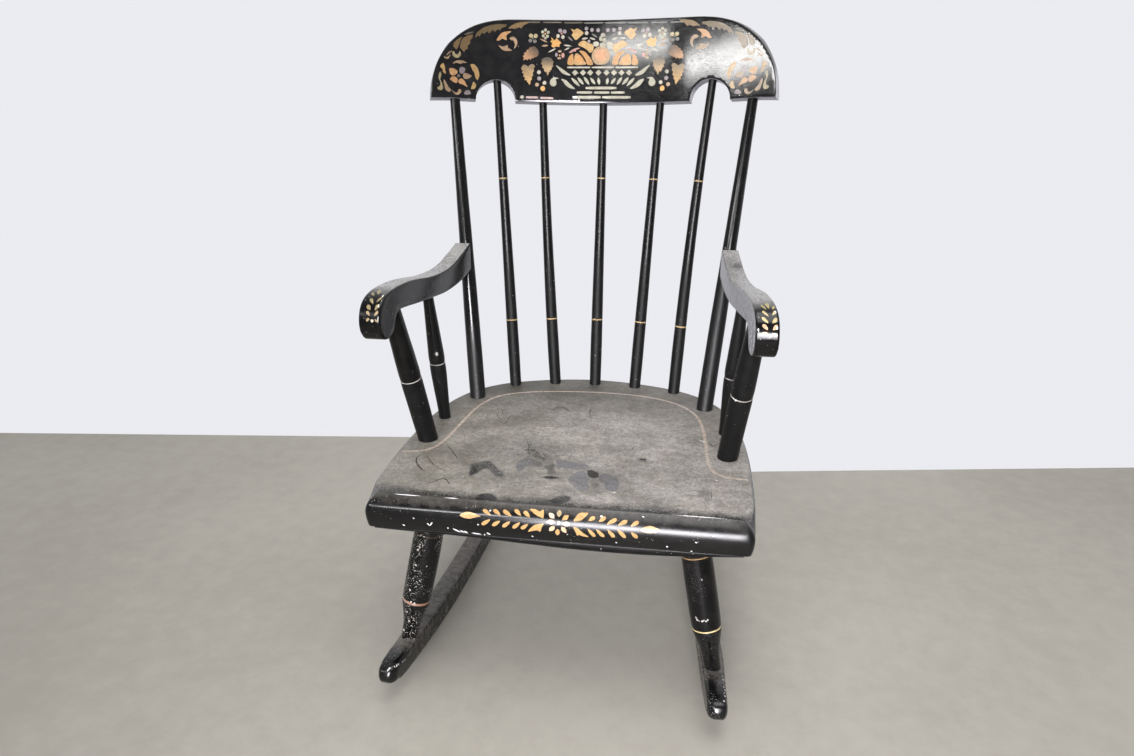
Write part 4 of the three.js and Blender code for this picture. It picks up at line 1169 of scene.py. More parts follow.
# seat: the painted line, smudges, hairs and lint
def tone_line(P):
    k = np.array([0.5 + 0.5 * noise.noise(Vector((p[0] * 0.05, p[1] * 0.05, 0.3))) for p in P])
    a, b = np.array(tint(178, 169, 157, 0.85)), np.array(tint(186, 164, 149, 0.9))
    return [tuple(a * (1 - q) + b * q) for q in k]


SMUDGES = [  # strength (above 0 bare and dark, below 0 a bluish film) and outline
    (0.70, [(-105.1, 91.1), (-101.5, 94.1), (-96, 98.5), (-90.5, 103.1), (-85.1, 103.9), (-78.5, 95.1), (-71.5, 84.2), (-65.2, 75.8), (-61.6, 69.5), (-62.6, 64.8), (-66.5, 63.1), (-71.4, 65.8), (-77.7, 74), (-82.8, 81.3), (-87, 80.7), (-89.7, 74.5), (-92.1, 67.2), (-94.6, 64.6), (-97.4, 63), (-100.4, 68.3), (-103.6, 81.8)]),
    (1, [(-102.1, 82), (-101.3, 89.3), (-97.5, 87.4), (-93, 78.6), (-91.4, 70.8), (-94.1, 66.9), (-97.1, 61.9), (-100.1, 67.2), (-100.9, 74)]),
    (-0.8, [(-55.7, 96.1), (-54.7, 107.2), (-50.7, 114.5), (-44.6, 117.4), (-36.9, 112.3), (-30.6, 108.3), (-26.4, 102.8), (-28.7, 97.7), (-34, 96.9), (-40, 99.6), (-44.6, 95.3), (-46.9, 85.5), (-50.3, 83.8), (-53.9, 88)]),
    (0.55, [(-55.2, 136.3), (-49.1, 139.9), (-40.8, 138.5), (-34.9, 131.6), (-30.9, 121.9), (-25.7, 117.7), (-25.5, 110.3), (-33.3, 116.6), (-40.2, 118), (-46.7, 122.1), (-50.3, 129.3)]),
    (0.6, [(-26.8, 105.2), (-21.7, 101.1), (-18.2, 106.5), (-16.3, 108), (-13.6, 104.7), (-13.1, 95.3), (-9.5, 86.4), (-11.5, 79.3), (-16.7, 78.5), (-20.5, 82.5), (-21.1, 91.7), (-26.1, 95.7)]),
    (0.9, [(-25, 72), (-20.3, 75), (-14.4, 77.5), (-7.7, 75.3), (-0.2, 74.4), (-6.9, 70.5), (-12.6, 67), (-19.1, 68.2)]),
    (-0.8, [(-15.2, 114.3), (-8.7, 115.2), (0.2, 114.1), (9.3, 111.8), (17, 111.7), (22.2, 104.1), (24, 98.4), (20, 96.7), (13.5, 96.9), (4.8, 97.9), (-6.1, 98.7), (-11.4, 97.9)]),
    (1, [(21.2, 95.7), (25.1, 98.6), (28.5, 96.8), (34.5, 90.7), (35.6, 80.6), (30.7, 77.7), (25.4, 79.1), (22.3, 86.6)]),
    (-0.8, [(4.6, 70.4), (6.4, 79.7), (10.4, 88.3), (16.1, 93.7), (22.6, 92.4), (26, 82.6), (26, 73.6), (24.1, 64.5), (27.9, 58.6), (28.7, 52.4), (25.4, 46.7), (20.6, 44.9), (15.8, 50.5), (10.6, 58.2), (6.6, 64.1)]),
    (0.5, [(28.1, 65.1), (31.6, 70), (35.8, 69.6), (39.4, 64.7), (39.1, 58.2), (35.6, 53.4), (31.6, 52.8), (29.1, 56.7)]),
    (-0.95, [(34.7, 88.4), (39.8, 90.3), (46.1, 90.1), (51.7, 86.4), (55.8, 75.8), (57.7, 65.2), (57.5, 56.7), (54, 50.9), (49, 50.2), (45.5, 54.9), (43.7, 63.1), (39.9, 70.2), (36.1, 76.2)]),
    (0.8, [(-79.3, 19.7), (-76.7, 25.2), (-71.4, 28.1), (-64, 27.1), (-58.9, 20.8), (-57.5, 13), (-59.5, 4.9), (-66.7, 1.9), (-74.8, 6.5), (-78.8, 13.8)]),
    (0.72, [(-3.7, 27), (0.3, 32.7), (5.9, 35.5), (12, 34.4), (14.7, 29.8), (13.6, 23.6), (7.5, 18.8), (1.1, 15.9), (-5.3, 18.8), (-9.6, 21.2)]),
    (0.46, [(135.4, 66.2), (149.7, 68.4), (149.6, 44), (144.3, 43.2), (143.5, 50), (134.8, 48.7)]),
    (0.8, [(72.2, 132.3), (79.1, 135.8), (84.2, 132.1), (81.8, 125.8), (75.3, 125.8)]),
    (0.62, [(-44.6, 253.2), (-40.2, 265.7), (-33, 269.1), (-24.3, 262.9), (-18.9, 252.1), (-22.9, 253.2), (-30.3, 260), (-37.4, 256.3)]),
    (0.52, [(1.2, 263.4), (7.3, 276.1), (10.8, 268.2), (6.1, 254.2), (7.2, 235), (3.6, 244)]),
    (0.46, [(48.8, 270.4), (57.9, 285.4), (65.4, 288.2), (61.1, 275.6), (53, 264.4)]),
    (0.4, [(-86, 130.5), (-81.8, 132.4), (-76.2, 128), (-75.9, 121.6), (-82.8, 121.8)]),
    (0.45, [(-114.9, 100.6), (-113, 103.4), (-109.2, 95.4), (-108.1, 85.8), (-111.5, 90.1)]),
    (0.5, [(-56, 168.9), (-49.3, 158.7), (-45.6, 145.7), (-47.9, 140.1), (-52.2, 150.1)]),
]
HAIRS = [  # points, width, tone
    ([(-163.7, 102.1), (-165.6, 94.3), (-163.1, 84.9), (-158.1, 76), (-152.7, 69.7), (-147.7, 64.9), (-147.2, 67.3)], 1.4, "soot"),
    ([(-161, 82.8), (-155.3, 74.1), (-151.6, 69.9)], 0.7, "hair"),
    ([(-156.4, 100.7), (-150.5, 91.6), (-143.8, 82.9), (-133.1, 73.8), (-127.9, 71.1), (-124.1, 65.9)], 1.1, "hair"),
    ([(-144, 132.4), (-137.4, 124.1), (-129.2, 112.4), (-124, 104.3), (-121, 99.7)], 1.2, "hair"),
    ([(-135.7, 38.5), (-130, 43.7), (-124.6, 50), (-120.6, 51.1), (-117.5, 47.8), (-113.5, 41.8), (-111.9, 39.9)], 1.3, "soot"),
    ([(-123, 272.4), (-125, 261.6), (-124.2, 248.1), (-120.8, 232), (-118.8, 216.3), (-118.3, 202.3), (-118.2, 194.7)], 1.7, "smear"),
    ([(-130.7, 175), (-131.4, 166.2), (-129.5, 155.1), (-126.2, 144.5), (-120.6, 134.6), (-115.9, 130), (-111.1, 125.4), (-107.2, 119.5)], 1.3, "smear"),
    ([(-112.8, 246.4), (-108, 237.2), (-108.2, 227.4), (-102.3, 218.7), (-97.2, 213.2)], 0.9, "hair"),
    ([(-107.8, 247.2), (-102.3, 234.8), (-102.5, 225)], 0.7, "hair"),
    ([(-105.2, 215.1), (-100.2, 209.6), (-95.2, 204.2), (-92.2, 207.7), (-91.4, 220.3), (-91, 230)], 0.9, "hair"),
    ([(-115.3, 220), (-110.8, 217.4), (-106.4, 214.9)], 1, "smear"),
    ([(-97.4, 162.7), (-93.9, 143.9), (-91.2, 128.4)], 0.9, "smear"),
    ([(-93.9, 163.2), (-85.2, 161.7), (-77.2, 157.4), (-69.2, 153)], 0.9, "smear"),
    ([(-44.6, 253.2), (-37.7, 266), (-28.4, 264), (-18.7, 250.5)], 0.8, "hair"),
    ([(4.2, 280.8), (4.9, 254), (8.8, 232.1)], 0.7, "hair"),
    ([(21.6, 263.1), (25.7, 247.3), (22.8, 227.9)], 0.6, "smear"),
    ([(-22.8, 270), (-14.6, 257.7), (-13.8, 225.6)], 0.6, "smear"),
    ([(49.3, 263.9), (55.8, 278.2), (65.5, 286.5)], 0.8, "smear"),
    ([(65, 164.9), (73.2, 160.8), (82.5, 154.2), (92.3, 158.3)], 0.6, "smear"),
    ([(64.6, 154.2), (66.3, 162.4), (70.8, 163.1)], 0.7, "hair"),
    ([(-56.6, 160.4), (-51.2, 144.9), (-49.7, 131.9)], 1, "hair"),
    ([(-54.7, 133.8), (-50.2, 139.7), (-42.5, 135.6)], 0.8, "hair"),
    ([(-43.3, 127.7), (-35.7, 123.7), (-29, 117.2)], 0.9, "hair"),
    ([(-38.6, 138.8), (-32.7, 131.9), (-26.8, 117.5)], 0.7, "hair"),
    ([(107, 249.8), (105.2, 224.9), (106.9, 201.7)], 0.6, "smear"),
    ([(116.8, 245), (114.7, 220.3), (117.4, 197.5)], 0.6, "smear"),
    ([(126.5, 234.1), (124.3, 204.2)], 0.6, "smear"),
    ([(150.2, 178.9), (154.5, 171.5), (160.2, 176.4)], 1.6, "soot"),
    ([(139.1, 186.8), (143.6, 183.4), (146.9, 182.5)], 1.6, "lint"),
    ([(144.8, 187.6), (144.2, 178)], 1, "lint"),
    ([(143.5, 50), (144.3, 43.2)], 0.8, "hair"),
    ([(149.7, 68.4), (149.5, 43.9)], 0.7, "hair"),
    ([(138.6, 42.3), (149.1, 43.1)], 0.6, "hair"),
]
LINT = [(-39.3, 201.3, 1.0), (98.3, 85.7, 1.1), (156.1, 88.6, 1.5), (54.3, 47.9, 1.6), (-104, 60, 0.9), (28, 205, 0.8), (-78, 186, 0.8), (118, 112, 0.8), (-128, 26, 0.9), (-60, 44, 0.8), (86, 40, 0.7),
        (140, 120, 0.7), (-24, 232, 0.7), (60, 222, 0.7), (-150, 120, 0.6), (4, 140, 0.6), (108, 160, 0.6), (-66, 34, 1.2), (-14, 50, 0.9), (36, 30, 0.8)]


def seat_lines():
    out = []
    for pts, w, code in HAIRS:
        out.append((ribbon(pts, w, 4, lambda t: 0.35 + 0.65 * np.sin(math.pi * t)), TONES[code]))
    for x, y, r in LINT:
        out.append((blob((x, y), r, r * 0.7, 7, x * 0.7), TONES["lint"]))
    return out


def edge_distance(P, outline):
    d = np.full(len(P), 1e9)
    for a, b in zip(outline, np.roll(outline, -1, axis=0)):
        ab = b - a
        t = np.clip(((P - a) @ ab) / max(1e-9, ab @ ab), 0, 1)
        d = np.minimum(d, np.linalg.norm(P - (a + t[:, None] * ab), axis=1))
    return d


def seat_mark(P):
    dark = np.zeros(len(P))
    film = np.zeros(len(P))
    for k, pts in SMUDGES:
        o = np.array(pts, float)
        near = (np.abs(P - o.mean(0)) < (o.max(0) - o.min(0)) / 2 + 12).all(1)
        if not near.any():
            continue
        Q = P[near]
        d = edge_distance(Q, o) * np.where(inside(o, Q), 1.0, -1.0)
        s = smoothstep(d, -2.2, 2.2) * abs(k)
        if k > 0:
            dark[near] = np.maximum(dark[near], s)
        else:
            film[near] = np.maximum(film[near], s)
    return np.where(dark > 0.2, dark, np.where(film > 0.02, -film, dark))


# ------------------------------------------------------------------ node materials
class Mat:
    def __init__(self, name):
        self.m = bpy.data.materials.new(name)
        self.m.use_nodes = True
        self.t = self.m.node_tree
        self.t.nodes.clear()
        self.out = self.t.nodes.new("ShaderNodeOutputMaterial")
        self.b = self.t.nodes.new("ShaderNodeBsdfPrincipled")
        self.t.links.new(self.b.outputs[0], self.out.inputs[0])
        self.co = self.t.nodes.new("ShaderNodeTexCoord").outputs["Object"]
        self.geo = self.t.nodes.new("ShaderNodeNewGeometry")
        self._n = None

    def put(self, socket, value):
        if value is None:
            return
        if hasattr(value, "is_output") or isinstance(value, bpy.types.NodeSocket):
            self.t.links.new(value, socket)
        else:
            if isinstance(value, (tuple, list)) and len(value) == 3 and socket.type == "RGBA":
                value = (*value, 1.0)
            socket.default_value = value

    def math(self, op, a, b=None, c=None, clamp=False):
        n = self.t.nodes.new("ShaderNodeMath")
        n.operation = op
        n.use_clamp = clamp
        self.put(n.inputs[0], a)
        if b is not None:
            self.put(n.inputs[1], b)
        if c is not None:
            self.put(n.inputs[2], c)
        return n.outputs[0]

    def mul(self, a, b):
        return self.math("MULTIPLY", a, b)

    def add(self, a, b, clamp=False):
        return self.math("ADD", a, b, clamp=clamp)

    def sub(self, a, b, clamp=False):
        return self.math("SUBTRACT", a, b, clamp=clamp)

    def inv(self, a):
        return self.math("SUBTRACT", 1.0, a, clamp=True)

    def top(self, a, b):
        return self.math("MAXIMUM", a, b)

    def least(self, a, b):
        return self.math("MINIMUM", a, b)

    def step(self, x, lo, hi, a=0.0, b=1.0, kind="SMOOTHSTEP"):
        n = self.t.nodes.new("ShaderNodeMapRange")
        n.interpolation_type = kind
        n.clamp = True if kind == "LINEAR" else n.clamp
        self.put(n.inputs[0], x)
        self.put(n.inputs[1], lo)
        self.put(n.inputs[2], hi)
        self.put(n.inputs[3], a)
        self.put(n.inputs[4], b)
        return n.outputs[0]

    def vec(self, scale, shift=(0, 0, 0), src=None):
        n = self.t.nodes.new("ShaderNodeMapping")
        n.vector_type = "POINT"
        self.put(n.inputs["Vector"], src if src is not None else self.co)
        n.inputs["Scale"].default_value = scale
        n.inputs["Location"].default_value = shift
        return n.outputs[0]

    def noise(self, scale, detail=3.0, rough=0.5, shift=(0, 0, 0), distort=0.0, colour=False):
        if not isinstance(scale, (tuple, list)):
            scale = (scale,) * 3
        n = self.t.nodes.new("ShaderNodeTexNoise")
        self.put(n.inputs["Vector"], self.vec(scale, shift))
        n.inputs["Scale"].default_value = 1.0
        n.inputs["Detail"].default_value = detail
        n.inputs["Roughness"].default_value = rough
        n.inputs["Distortion"].default_value = distort
        return n.outputs["Color" if colour else "Fac"]

    def cells(self, scale, shift=(0, 0, 0), feature="F1", randomness=1.0):
        if not isinstance(scale, (tuple, list)):
            scale = (scale,) * 3
        n = self.t.nodes.new("ShaderNodeTexVoronoi")
        n.feature = feature
        self.put(n.inputs["Vector"], self.vec(scale, shift))
        n.inputs["Scale"].default_value = 1.0
        n.inputs["Randomness"].default_value = randomness
        return n

    def mix(self, f, a, b, kind="MIX"):
        n = self.t.nodes.new("ShaderNodeMix")
        n.data_type = "RGBA"
        n.blend_type = kind
        n.clamp_factor = True
        self.put(n.inputs[0], f)
        self.put(n.inputs[6], a)
        self.put(n.inputs[7], b)
        return n.outputs[2]

    def ramp(self, f, stops):
        n = self.t.nodes.new("ShaderNodeValToRGB")
        e = n.color_ramp.elements
        while len(e) > 1:
            e.remove(e[-1])
        e[0].position, e[0].color = stops[0][0], (*stops[0][1], 1)
        for p, c in stops[1:]:
            k = e.new(p)
            k.color = (*c, 1)
        self.put(n.inputs[0], f)
        return n.outputs[0]

    def attr(self, name, out="Fac"):
        n = self.t.nodes.new("ShaderNodeAttribute")
        n.attribute_name = name
        return n.outputs[out]

    def xyz(self, src):
        n = self.t.nodes.new("ShaderNodeSeparateXYZ")
        self.put(n.inputs[0], src)
        return n.outputs

    def bump(self, height, distance, strength=1.0, normal=None):
        n = self.t.nodes.new("ShaderNodeBump")
        n.inputs["Distance"].default_value = distance
        n.inputs["Strength"].default_value = strength
        self.put(n.inputs["Height"], height)
        if normal is not None:
            self.put(n.inputs["Normal"], normal)
        return n.outputs[0]

    def specks(self, scale, keep, size, shift=(0, 0, 0), soft=0.25):
        """Small scattered dots: a share of the cells, each dot with a radius under size of a cell."""
        c = self.cells(scale, shift)
        r = self.xyz(c.outputs["Color"])
        on = self.math("GREATER_THAN", r[0], 1.0 - keep)
        rad = self.math("MULTIPLY_ADD", r[1], size * 0.7, size * 0.3)
        edge = self.math("MULTIPLY", rad, 1.0 - soft)
        dot = self.step(c.outputs["Distance"], edge, rad, 1.0, 0.0, "LINEAR")
        return self.mul(dot, on)


def enamel(name, grain=(90, 900, 900), rough=0.26, dust=0.5, dust_colour=(0.27, 0.255, 0.235), flecks=0.03, fleck_zone=None, tint=(0.0019, 0.0019, 0.0020),
           wear=0.5, side_dust=0.06, grain_depth=0.000012, dust_from=(0.35, 0.95), extra=None, paint_wear=0.5, spec=0.5, dust_off=0.75, paint_rough=0.16, dust_rough=0.55,
           spread=0.24, chips=(), brushed=0.0, grain_detail=5, dull=None):
    m = Mat(name)
    b = m.b
    nz = m.xyz(m.geo.outputs["Normal"])[2]
    big = m.noise(22, 3, 0.55)
    fine = m.noise(420, 4, 0.65)
    mid = m.noise(95, 4, 0.6, (3.1, 1.7, 9.2))
    g = m.noise(grain, grain_detail, 0.62, (1.0, 4.0, 2.0))
    ragged = m.noise(1300, 3, 0.65, (6.0, 3.0, 1.0)) if chips else None
    # enamel
    base = m.mix(m.step(mid, 0.35, 0.7), tuple(c * 0.7 for c in tint), tuple(c * 1.7 for c in tint))
    base = m.mix(m.mul(m.step(g, 0.5, 0.78), 0.5), base, tuple(c * 2.3 for c in tint))
    # dust lying on what faces up, and a thin film elsewhere
    up = m.step(nz, dust_from[0], dust_from[1])
    patchy = m.step(m.add(m.mul(big, 0.5), m.mul(fine, 0.5)), 0.28, 0.62, 0.55, 1.0)
    d = m.mul(m.mul(up, patchy), dust)
    film = m.mul(m.step(m.add(m.mul(mid, 0.6), m.mul(fine, 0.4)), 0.42, 0.72), side_dust)
    d = m.top(d, film)
    mark = m.attr("mark")
    paint = m.attr("paint", "Color")
    pa = m.attr("paint", "Alpha")
    dc = m.mix(m.step(fine, 0.3, 0.7), tuple(c * 0.82 for c in dust_colour), tuple(c * 1.15 for c in dust_colour))
    if extra:
        d, dc, base = extra(m, d, dc, base, mark, nz, fine, big, mid)
    # ornament, rubbed thin in places
    rub = m.step(m.add(m.mul(m.noise(170, 4, 0.7, (5, 5, 1)), 0.55), m.mul(m.noise((1500, 1500, 1500), 2, 0.6), 0.45)), 0.30, 0.47, 1.0 - paint_wear, 1.0)
    pk = m.mul(pa, rub)
    tone = m.mix(m.mul(m.step(m.noise(260, 3, 0.6, (2, 8, 3)), 0.3, 0.75), 0.35), paint, (0.10, 0.055, 0.02), "MIX")
    col = m.mix(pk, base, tone)
    # chips and pale flecks
    zone = fleck_zone(m) if fleck_zone else 1.0
    f1 = m.specks(900, flecks, 0.34)
    f2 = m.specks(480, flecks * 0.30, 0.27, (7, 3, 5))
    fl = m.top(f1, f2)
    fl = m.mul(fl, zone) if fleck_zone else fl
    for x, y, z, r in chips:
        n = m.t.nodes.new("ShaderNodeVectorMath")
        n.operation = "DISTANCE"
        m.put(n.inputs[0], m.co)
        n.inputs[1].default_value = (x, y, z)
        away = m.add(m.add(n.outputs["Value"], m.mul(m.sub(fine, 0.5), r * 2.6)), m.mul(m.sub(ragged, 0.5), r * 3.4))
        fl = m.top(fl, m.step(away, r * 0.8, r, 1.0, 0.0, "LINEAR"))
    d = m.mul(d, m.step(pk, 0.0, 1.0, 1.0, 1.0 - dust_off, "LINEAR"))
    col = m.mix(d, col, dc)
    col = m.mix(fl, col, (0.52, 0.50, 0.47))
    m.put(b.inputs["Base Color"], col)
    r = m.step(m.add(m.mul(mid, 0.5), m.mul(fine, 0.5)), 0.3, 0.7, rough * (1 - spread), rough * (1 + spread), "LINEAR")
    if dull:
        r = m.add(r, dull(m))
    if brushed:
        r = m.add(r, m.mul(m.step(g, 0.46, 0.66), brushed))
    r = m.add(r, m.mul(pk, paint_rough))
    r = m.add(r, m.mul(d, dust_rough))
    r = m.add(r, m.mul(fl, 0.3), clamp=True)
    m.put(b.inputs["Roughness"], r)
    b.inputs["Specular IOR Level"].default_value = spec
    h = m.add(m.mul(g, 1.0), m.mul(m.noise(60, 2, 0.5, (9, 9, 9)), 0.8))
    h = m.add(h, m.mul(pk, 0.25))
    h = m.add(h, m.mul(fl, 0.6))
    h = m.add(h, m.mul(m.mul(d, fine), 0.9))
    m.put(b.inputs["Normal"], m.bump(h, grain_depth, 1.0))
    return m.m


# ------------------------------------------------------------------ the pieces
GOLD = (0.40, 0.29, 0.15, 0.9)
PALE = (0.42, 0.41, 0.39, 0.85)
BRASS = (0.52, 0.42, 0.21, 1.0)
COPPER = (0.24, 0.135, 0.09, 0.9)
BROWN = (0.24, 0.15, 0.07, 0.9)
TURNED_CHIPS = ((-0.1769, -0.0060, 0.3253, 0.0009), (-0.1693, -0.0037, 0.3001, 0.0017), (-0.1705, 0.0021, 0.2205, 0.0015), (-0.1741, 0.0043, 0.2155, 0.0014),
                (0.1704, -0.0813, 0.2928, 0.0012), (0.1684, -0.0797, 0.2939, 0.0008), (0.1641, -0.0706, 0.2712, 0.0008))
LEG_CHIPS = ((-0.1478, -0.1738, 0.1265, 0.0012), (-0.1498, -0.1818, 0.0844, 0.0011), (-0.1370, -0.1725, 0.1255, 0.0010), (-0.1433, -0.1703, 0.1464, 0.0010), (-0.1456, -0.1706, 0.1428, 0.0009), (-0.1535, -0.1817, 0.0857, 0.0009), (-0.1592, -0.1811, 0.0721, 0.0010), (-0.1576, -0.1815, 0.0611, 0.0009), (-0.1645, -0.1807, 0.0481, 0.0011), (-0.1546, -0.1789, 0.0985, 0.0010), (-0.1541, -0.1807, 0.0376, 0.0010),
             (0.1446, -0.1720, 0.1377, 0.0010), (0.1412, -0.1775, 0.0962, 0.0009), (0.1426, -0.1780, 0.0944, 0.0009), (0.1446, -0.1788, 0.0940, 0.0008), (0.1470, -0.1797, 0.0946, 0.0009), (0.1486, -0.1797, 0.0958, 0.0008), (0.1510, -0.1797, 0.0952, 0.0007), (0.1523, -0.1797, 0.0968, 0.0007), (0.1325, -0.1667, 0.1634, 0.0011))
ROCKER_CHIPS = ((-0.1560, -0.2263, 0.0415, 0.0011), (-0.1574, -0.2290, 0.0420, 0.0008), (-0.1551, -0.2241, 0.0411, 0.0010), (-0.1538, -0.2170, 0.0380, 0.0008), (-0.1536, -0.2140, 0.0374, 0.0007),
                (-0.1534, -0.2110, 0.0360, 0.0007), (-0.1615, -0.2325, 0.0422, 0.0009), (-0.1624, -0.2340, 0.0413, 0.0008), (0.1706, -0.1903, 0.0393, 0.0008), (0.1710, -0.1967, 0.0400, 0.0009),
                (0.1716, -0.2046, 0.0410, 0.0008), (0.1707, -0.2088, 0.0421, 0.0007), (0.1717, -0.2127, 0.0422, 0.0010), (0.1706, -0.2186, 0.0437, 0.0007), (0.1712, -0.2223, 0.0436, 0.0010), (0.1700, -0.2285, 0.0431, 0.0008))


def mirror(p, side):
    return np.array([p[0] * side, p[1], p[2]], float)


def seat_dust_and_painted_light(m, d, dc, base, mark, nz, fine, big, mid):
    """Dust ends at the ridge of the rounded front; smudges are wiped bare or leave a bluish film. The dust colour also
    carries painted shade, darker towards the rear, and partly painted light, lighter towards the right.
    """
    x, y, z = m.xyz(m.co)
    soft = m.add(m.mul(m.sub(mid, 0.5), 0.016), m.add(m.mul(m.sub(fine, 0.5), 0.006), m.mul(m.sub(big, 0.5), 0.010)))
    y2 = m.add(m.add(y, soft), m.mul(x, 0.006))
    front = m.step(m.add(y2, m.mul(m.sub(fine, 0.5), 0.008)), -0.1866, -0.1640)
    slope = m.mul(m.step(m.add(z, m.mul(soft, 0.7)), 0.2050, 0.2128), m.step(x, -0.1, 0.12, 0.16, 0.085))
    streak = m.noise((26, 190, 60), 4, 0.6, (4, 4, 4))
    mott = m.noise(150, 5, 0.72, (6, 2, 7))
    rag = m.add(m.mul(m.sub(fine, 0.5), 0.75), m.mul(m.sub(mid, 0.5), 0.6))
    bare = m.step(m.add(mark, rag), 0.24, 0.56)
    bare = m.mul(bare, m.step(mark, 0.05, 0.2))
    film = m.step(m.sub(m.mul(mark, -1.0), m.mul(rag, -0.6)), 0.22, 0.46)
    patchy = m.step(m.add(m.mul(streak, 0.4), m.mul(mott, 0.6)), 0.34, 0.60, 0.78, 1.0)
    d = m.mul(m.top(m.mul(d, front), slope), patchy)
    d = m.mul(d, m.step(m.add(x, m.mul(m.sub(big, 0.5), 0.2)), -0.16, 0.06, 0.90, 1.0))
    d = m.mul(d, m.sub(1.0, m.mul(bare, m.step(mark, 0.3, 1.0, 0.42, 0.88))))
    d = m.mul(d, m.sub(1.0, m.mul(m.specks(260, 0.10, 0.30, (1, 6, 2)), 0.45)))
    far = m.t.nodes.new("ShaderNodeVectorMath")
    far.operation = "DISTANCE"
    m.put(far.inputs[0], m.co)
    far.inputs[1].default_value = (-0.034, -0.066, 0.213)
    crumbs = m.mul(m.step(m.add(far.outputs["Value"], m.mul(m.sub(big, 0.5), 0.06)), 0.052, 0.014), m.step(m.noise(330, 4, 0.75, (3, 5, 1)), 0.52, 0.60))
    d = m.mul(d, m.sub(1.0, m.mul(crumbs, 0.6)))
    hairs = m.step(m.math("ABSOLUTE", m.sub(m.noise((16, 30, 16), 3, 0.55, (7, 7, 3)), 0.5)), 0.0048, 0.0020)
    d = m.mul(d, m.sub(1.0, m.mul(m.mul(hairs, m.step(mott, 0.44, 0.62)), 0.50)))
    dc = m.mix(m.mul(film, 0.85), dc, (0.172, 0.168, 0.186))
    brown = m.step(m.noise(34, 4, 0.6, (8, 1, 5)), 0.50, 0.74)
    dc = m.mix(m.mul(brown, 0.55), dc, (0.235, 0.212, 0.180))
    sweep = m.add(m.mul(m.noise((21, 34, 20), 5, 0.68, (2, 9, 3)), 0.6), m.mul(m.noise((12, 15, 12), 4, 0.65, (5, 1, 8)), 0.4))
    dc = m.mix(1.0, dc, m.mix(m.step(sweep, 0.38, 0.60), (0.75, 0.74, 0.705), (1.11, 1.11, 1.11)), "MULTIPLY")
    dc = m.mix(m.step(mott, 0.60, 0.36), dc, (0.80, 0.79, 0.77), "MULTIPLY")
    dc = m.mix(m.mul(m.step(mott, 0.60, 0.74), 0.5), dc, (0.40, 0.385, 0.36))
    dc = m.mix(m.specks(380, 0.05, 0.26, (3, 1, 9)), dc, (0.52, 0.51, 0.49))
    # dust colour greener and darker at the left, lighter at the right: the greener tone is the dust's own, the
    # lightening on the right is painted light
    dc = m.mix(1.0, dc, m.mix(m.step(m.add(x, m.mul(m.sub(big, 0.5), 0.1)), -0.15, 0.10), (0.93, 0.93, 0.88), (1.12, 1.12, 1.13)), "MULTIPLY")
    # painted shade: the dust colour is darkened towards the rear of the seat
    dc = m.mix(m.step(m.add(y, m.mul(m.sub(big, 0.5), 0.05)), 0.0, 0.125), dc, (0.50, 0.50, 0.49), "MULTIPLY")
    return d, dc, base


def seat_dull(m):
    """The rounded front is polished at the left and rubbed duller towards the right."""
    x, y, z = m.xyz(m.co)
    return m.mul(m.step(y, -0.183, -0.188), m.step(x, -0.04, 0.06, 0.0, 0.13))


def crest_edges_painted_reflection(m, d, dc, base, mark, nz, fine, big, mid):
    """Painted reflection: the underside and the right end are coloured pale lilac, standing in for the floor and wall
    light these edges catch.
    """
    x, y, z = m.xyz(m.co)
    nx = m.xyz(m.geo.outputs["Normal"])[0]
    sheen_patches = m.step(m.add(m.mul(mid, 0.5), m.mul(fine, 0.5)), 0.3, 0.65, 0.65, 1.0)
    # painted reflection of the floor on the faces turned downwards
    base = m.mix(m.mul(m.step(nz, -0.12, -0.5), sheen_patches), base, (0.205, 0.199, 0.232))
    # painted reflection on the lower part of the right end
    end = m.mul(m.step(nx, 0.72, 0.88), m.step(m.add(z, m.mul(m.sub(mid, 0.5), 0.02)), 0.618, 0.600))
    base = m.mix(m.mul(end, sheen_patches), base, (0.46, 0.455, 0.49))
    return d, dc, base


def arm_top(m, d, dc, base, mark, nz, fine, big, mid):
    """Dust lies on the level part; the scrolled front is clean. Finger marks cross the right arm behind. The inner side
    of the right arm carries a pale lilac painted reflection, laid on through the dust.
    """
    x, y, z = m.xyz(m.co)
    y2 = m.add(y, m.mul(m.sub(mid, 0.5), 0.02))
    d = m.mul(d, m.step(y2, -0.126, -0.096))
    n = m.t.nodes.new("ShaderNodeVectorMath")
    n.operation = "DISTANCE"
    m.put(n.inputs[0], m.co)
    n.inputs[1].default_value = (0.174, 0.072, 0.4045)
    away = m.add(n.outputs["Value"], m.mul(m.sub(fine, 0.5), 0.012))
    d = m.mul(d, m.step(away, 0.005, 0.012, 0.35, 1.0))
    # painted reflection: pale lilac on the inner side of the right arm, mixed in as dust
    nx = m.xyz(m.geo.outputs["Normal"])[0]
    inner = m.mul(m.step(nx, -0.6, -0.85), m.step(x, 0.0, 0.02))
    d = m.top(d, m.mul(inner, m.step(m.noise(60, 4, 0.6, (4, 4, 1)), 0.3, 0.7, 0.42, 0.60)))
    dc = m.mix(inner, dc, (0.40, 0.395, 0.43))
    return d, dc, base


def turned_dull(m):
    """Hands and brooms have dulled the lower ends of the turned pieces, the posts less far up than the spindles."""
    x, y, z = m.xyz(m.co)
    post = m.step(x, -0.120, -0.132)
    z2 = m.add(m.add(z, m.mul(post, 0.075)), m.mul(m.sub(m.noise(30, 3, 0.6, (2, 7, 1)), 0.5), 0.04))
    return m.step(z2, 0.405, 0.345, 0.0, 0.32)


def spindle_dull(m):
    """The lower ends of the spindles are duller still."""
    z = m.add(m.xyz(m.co)[2], m.mul(m.sub(m.noise(30, 3, 0.6, (2, 7, 1)), 0.5), 0.04))
    return m.step(z, 0.405, 0.345, 0.0, 0.22)


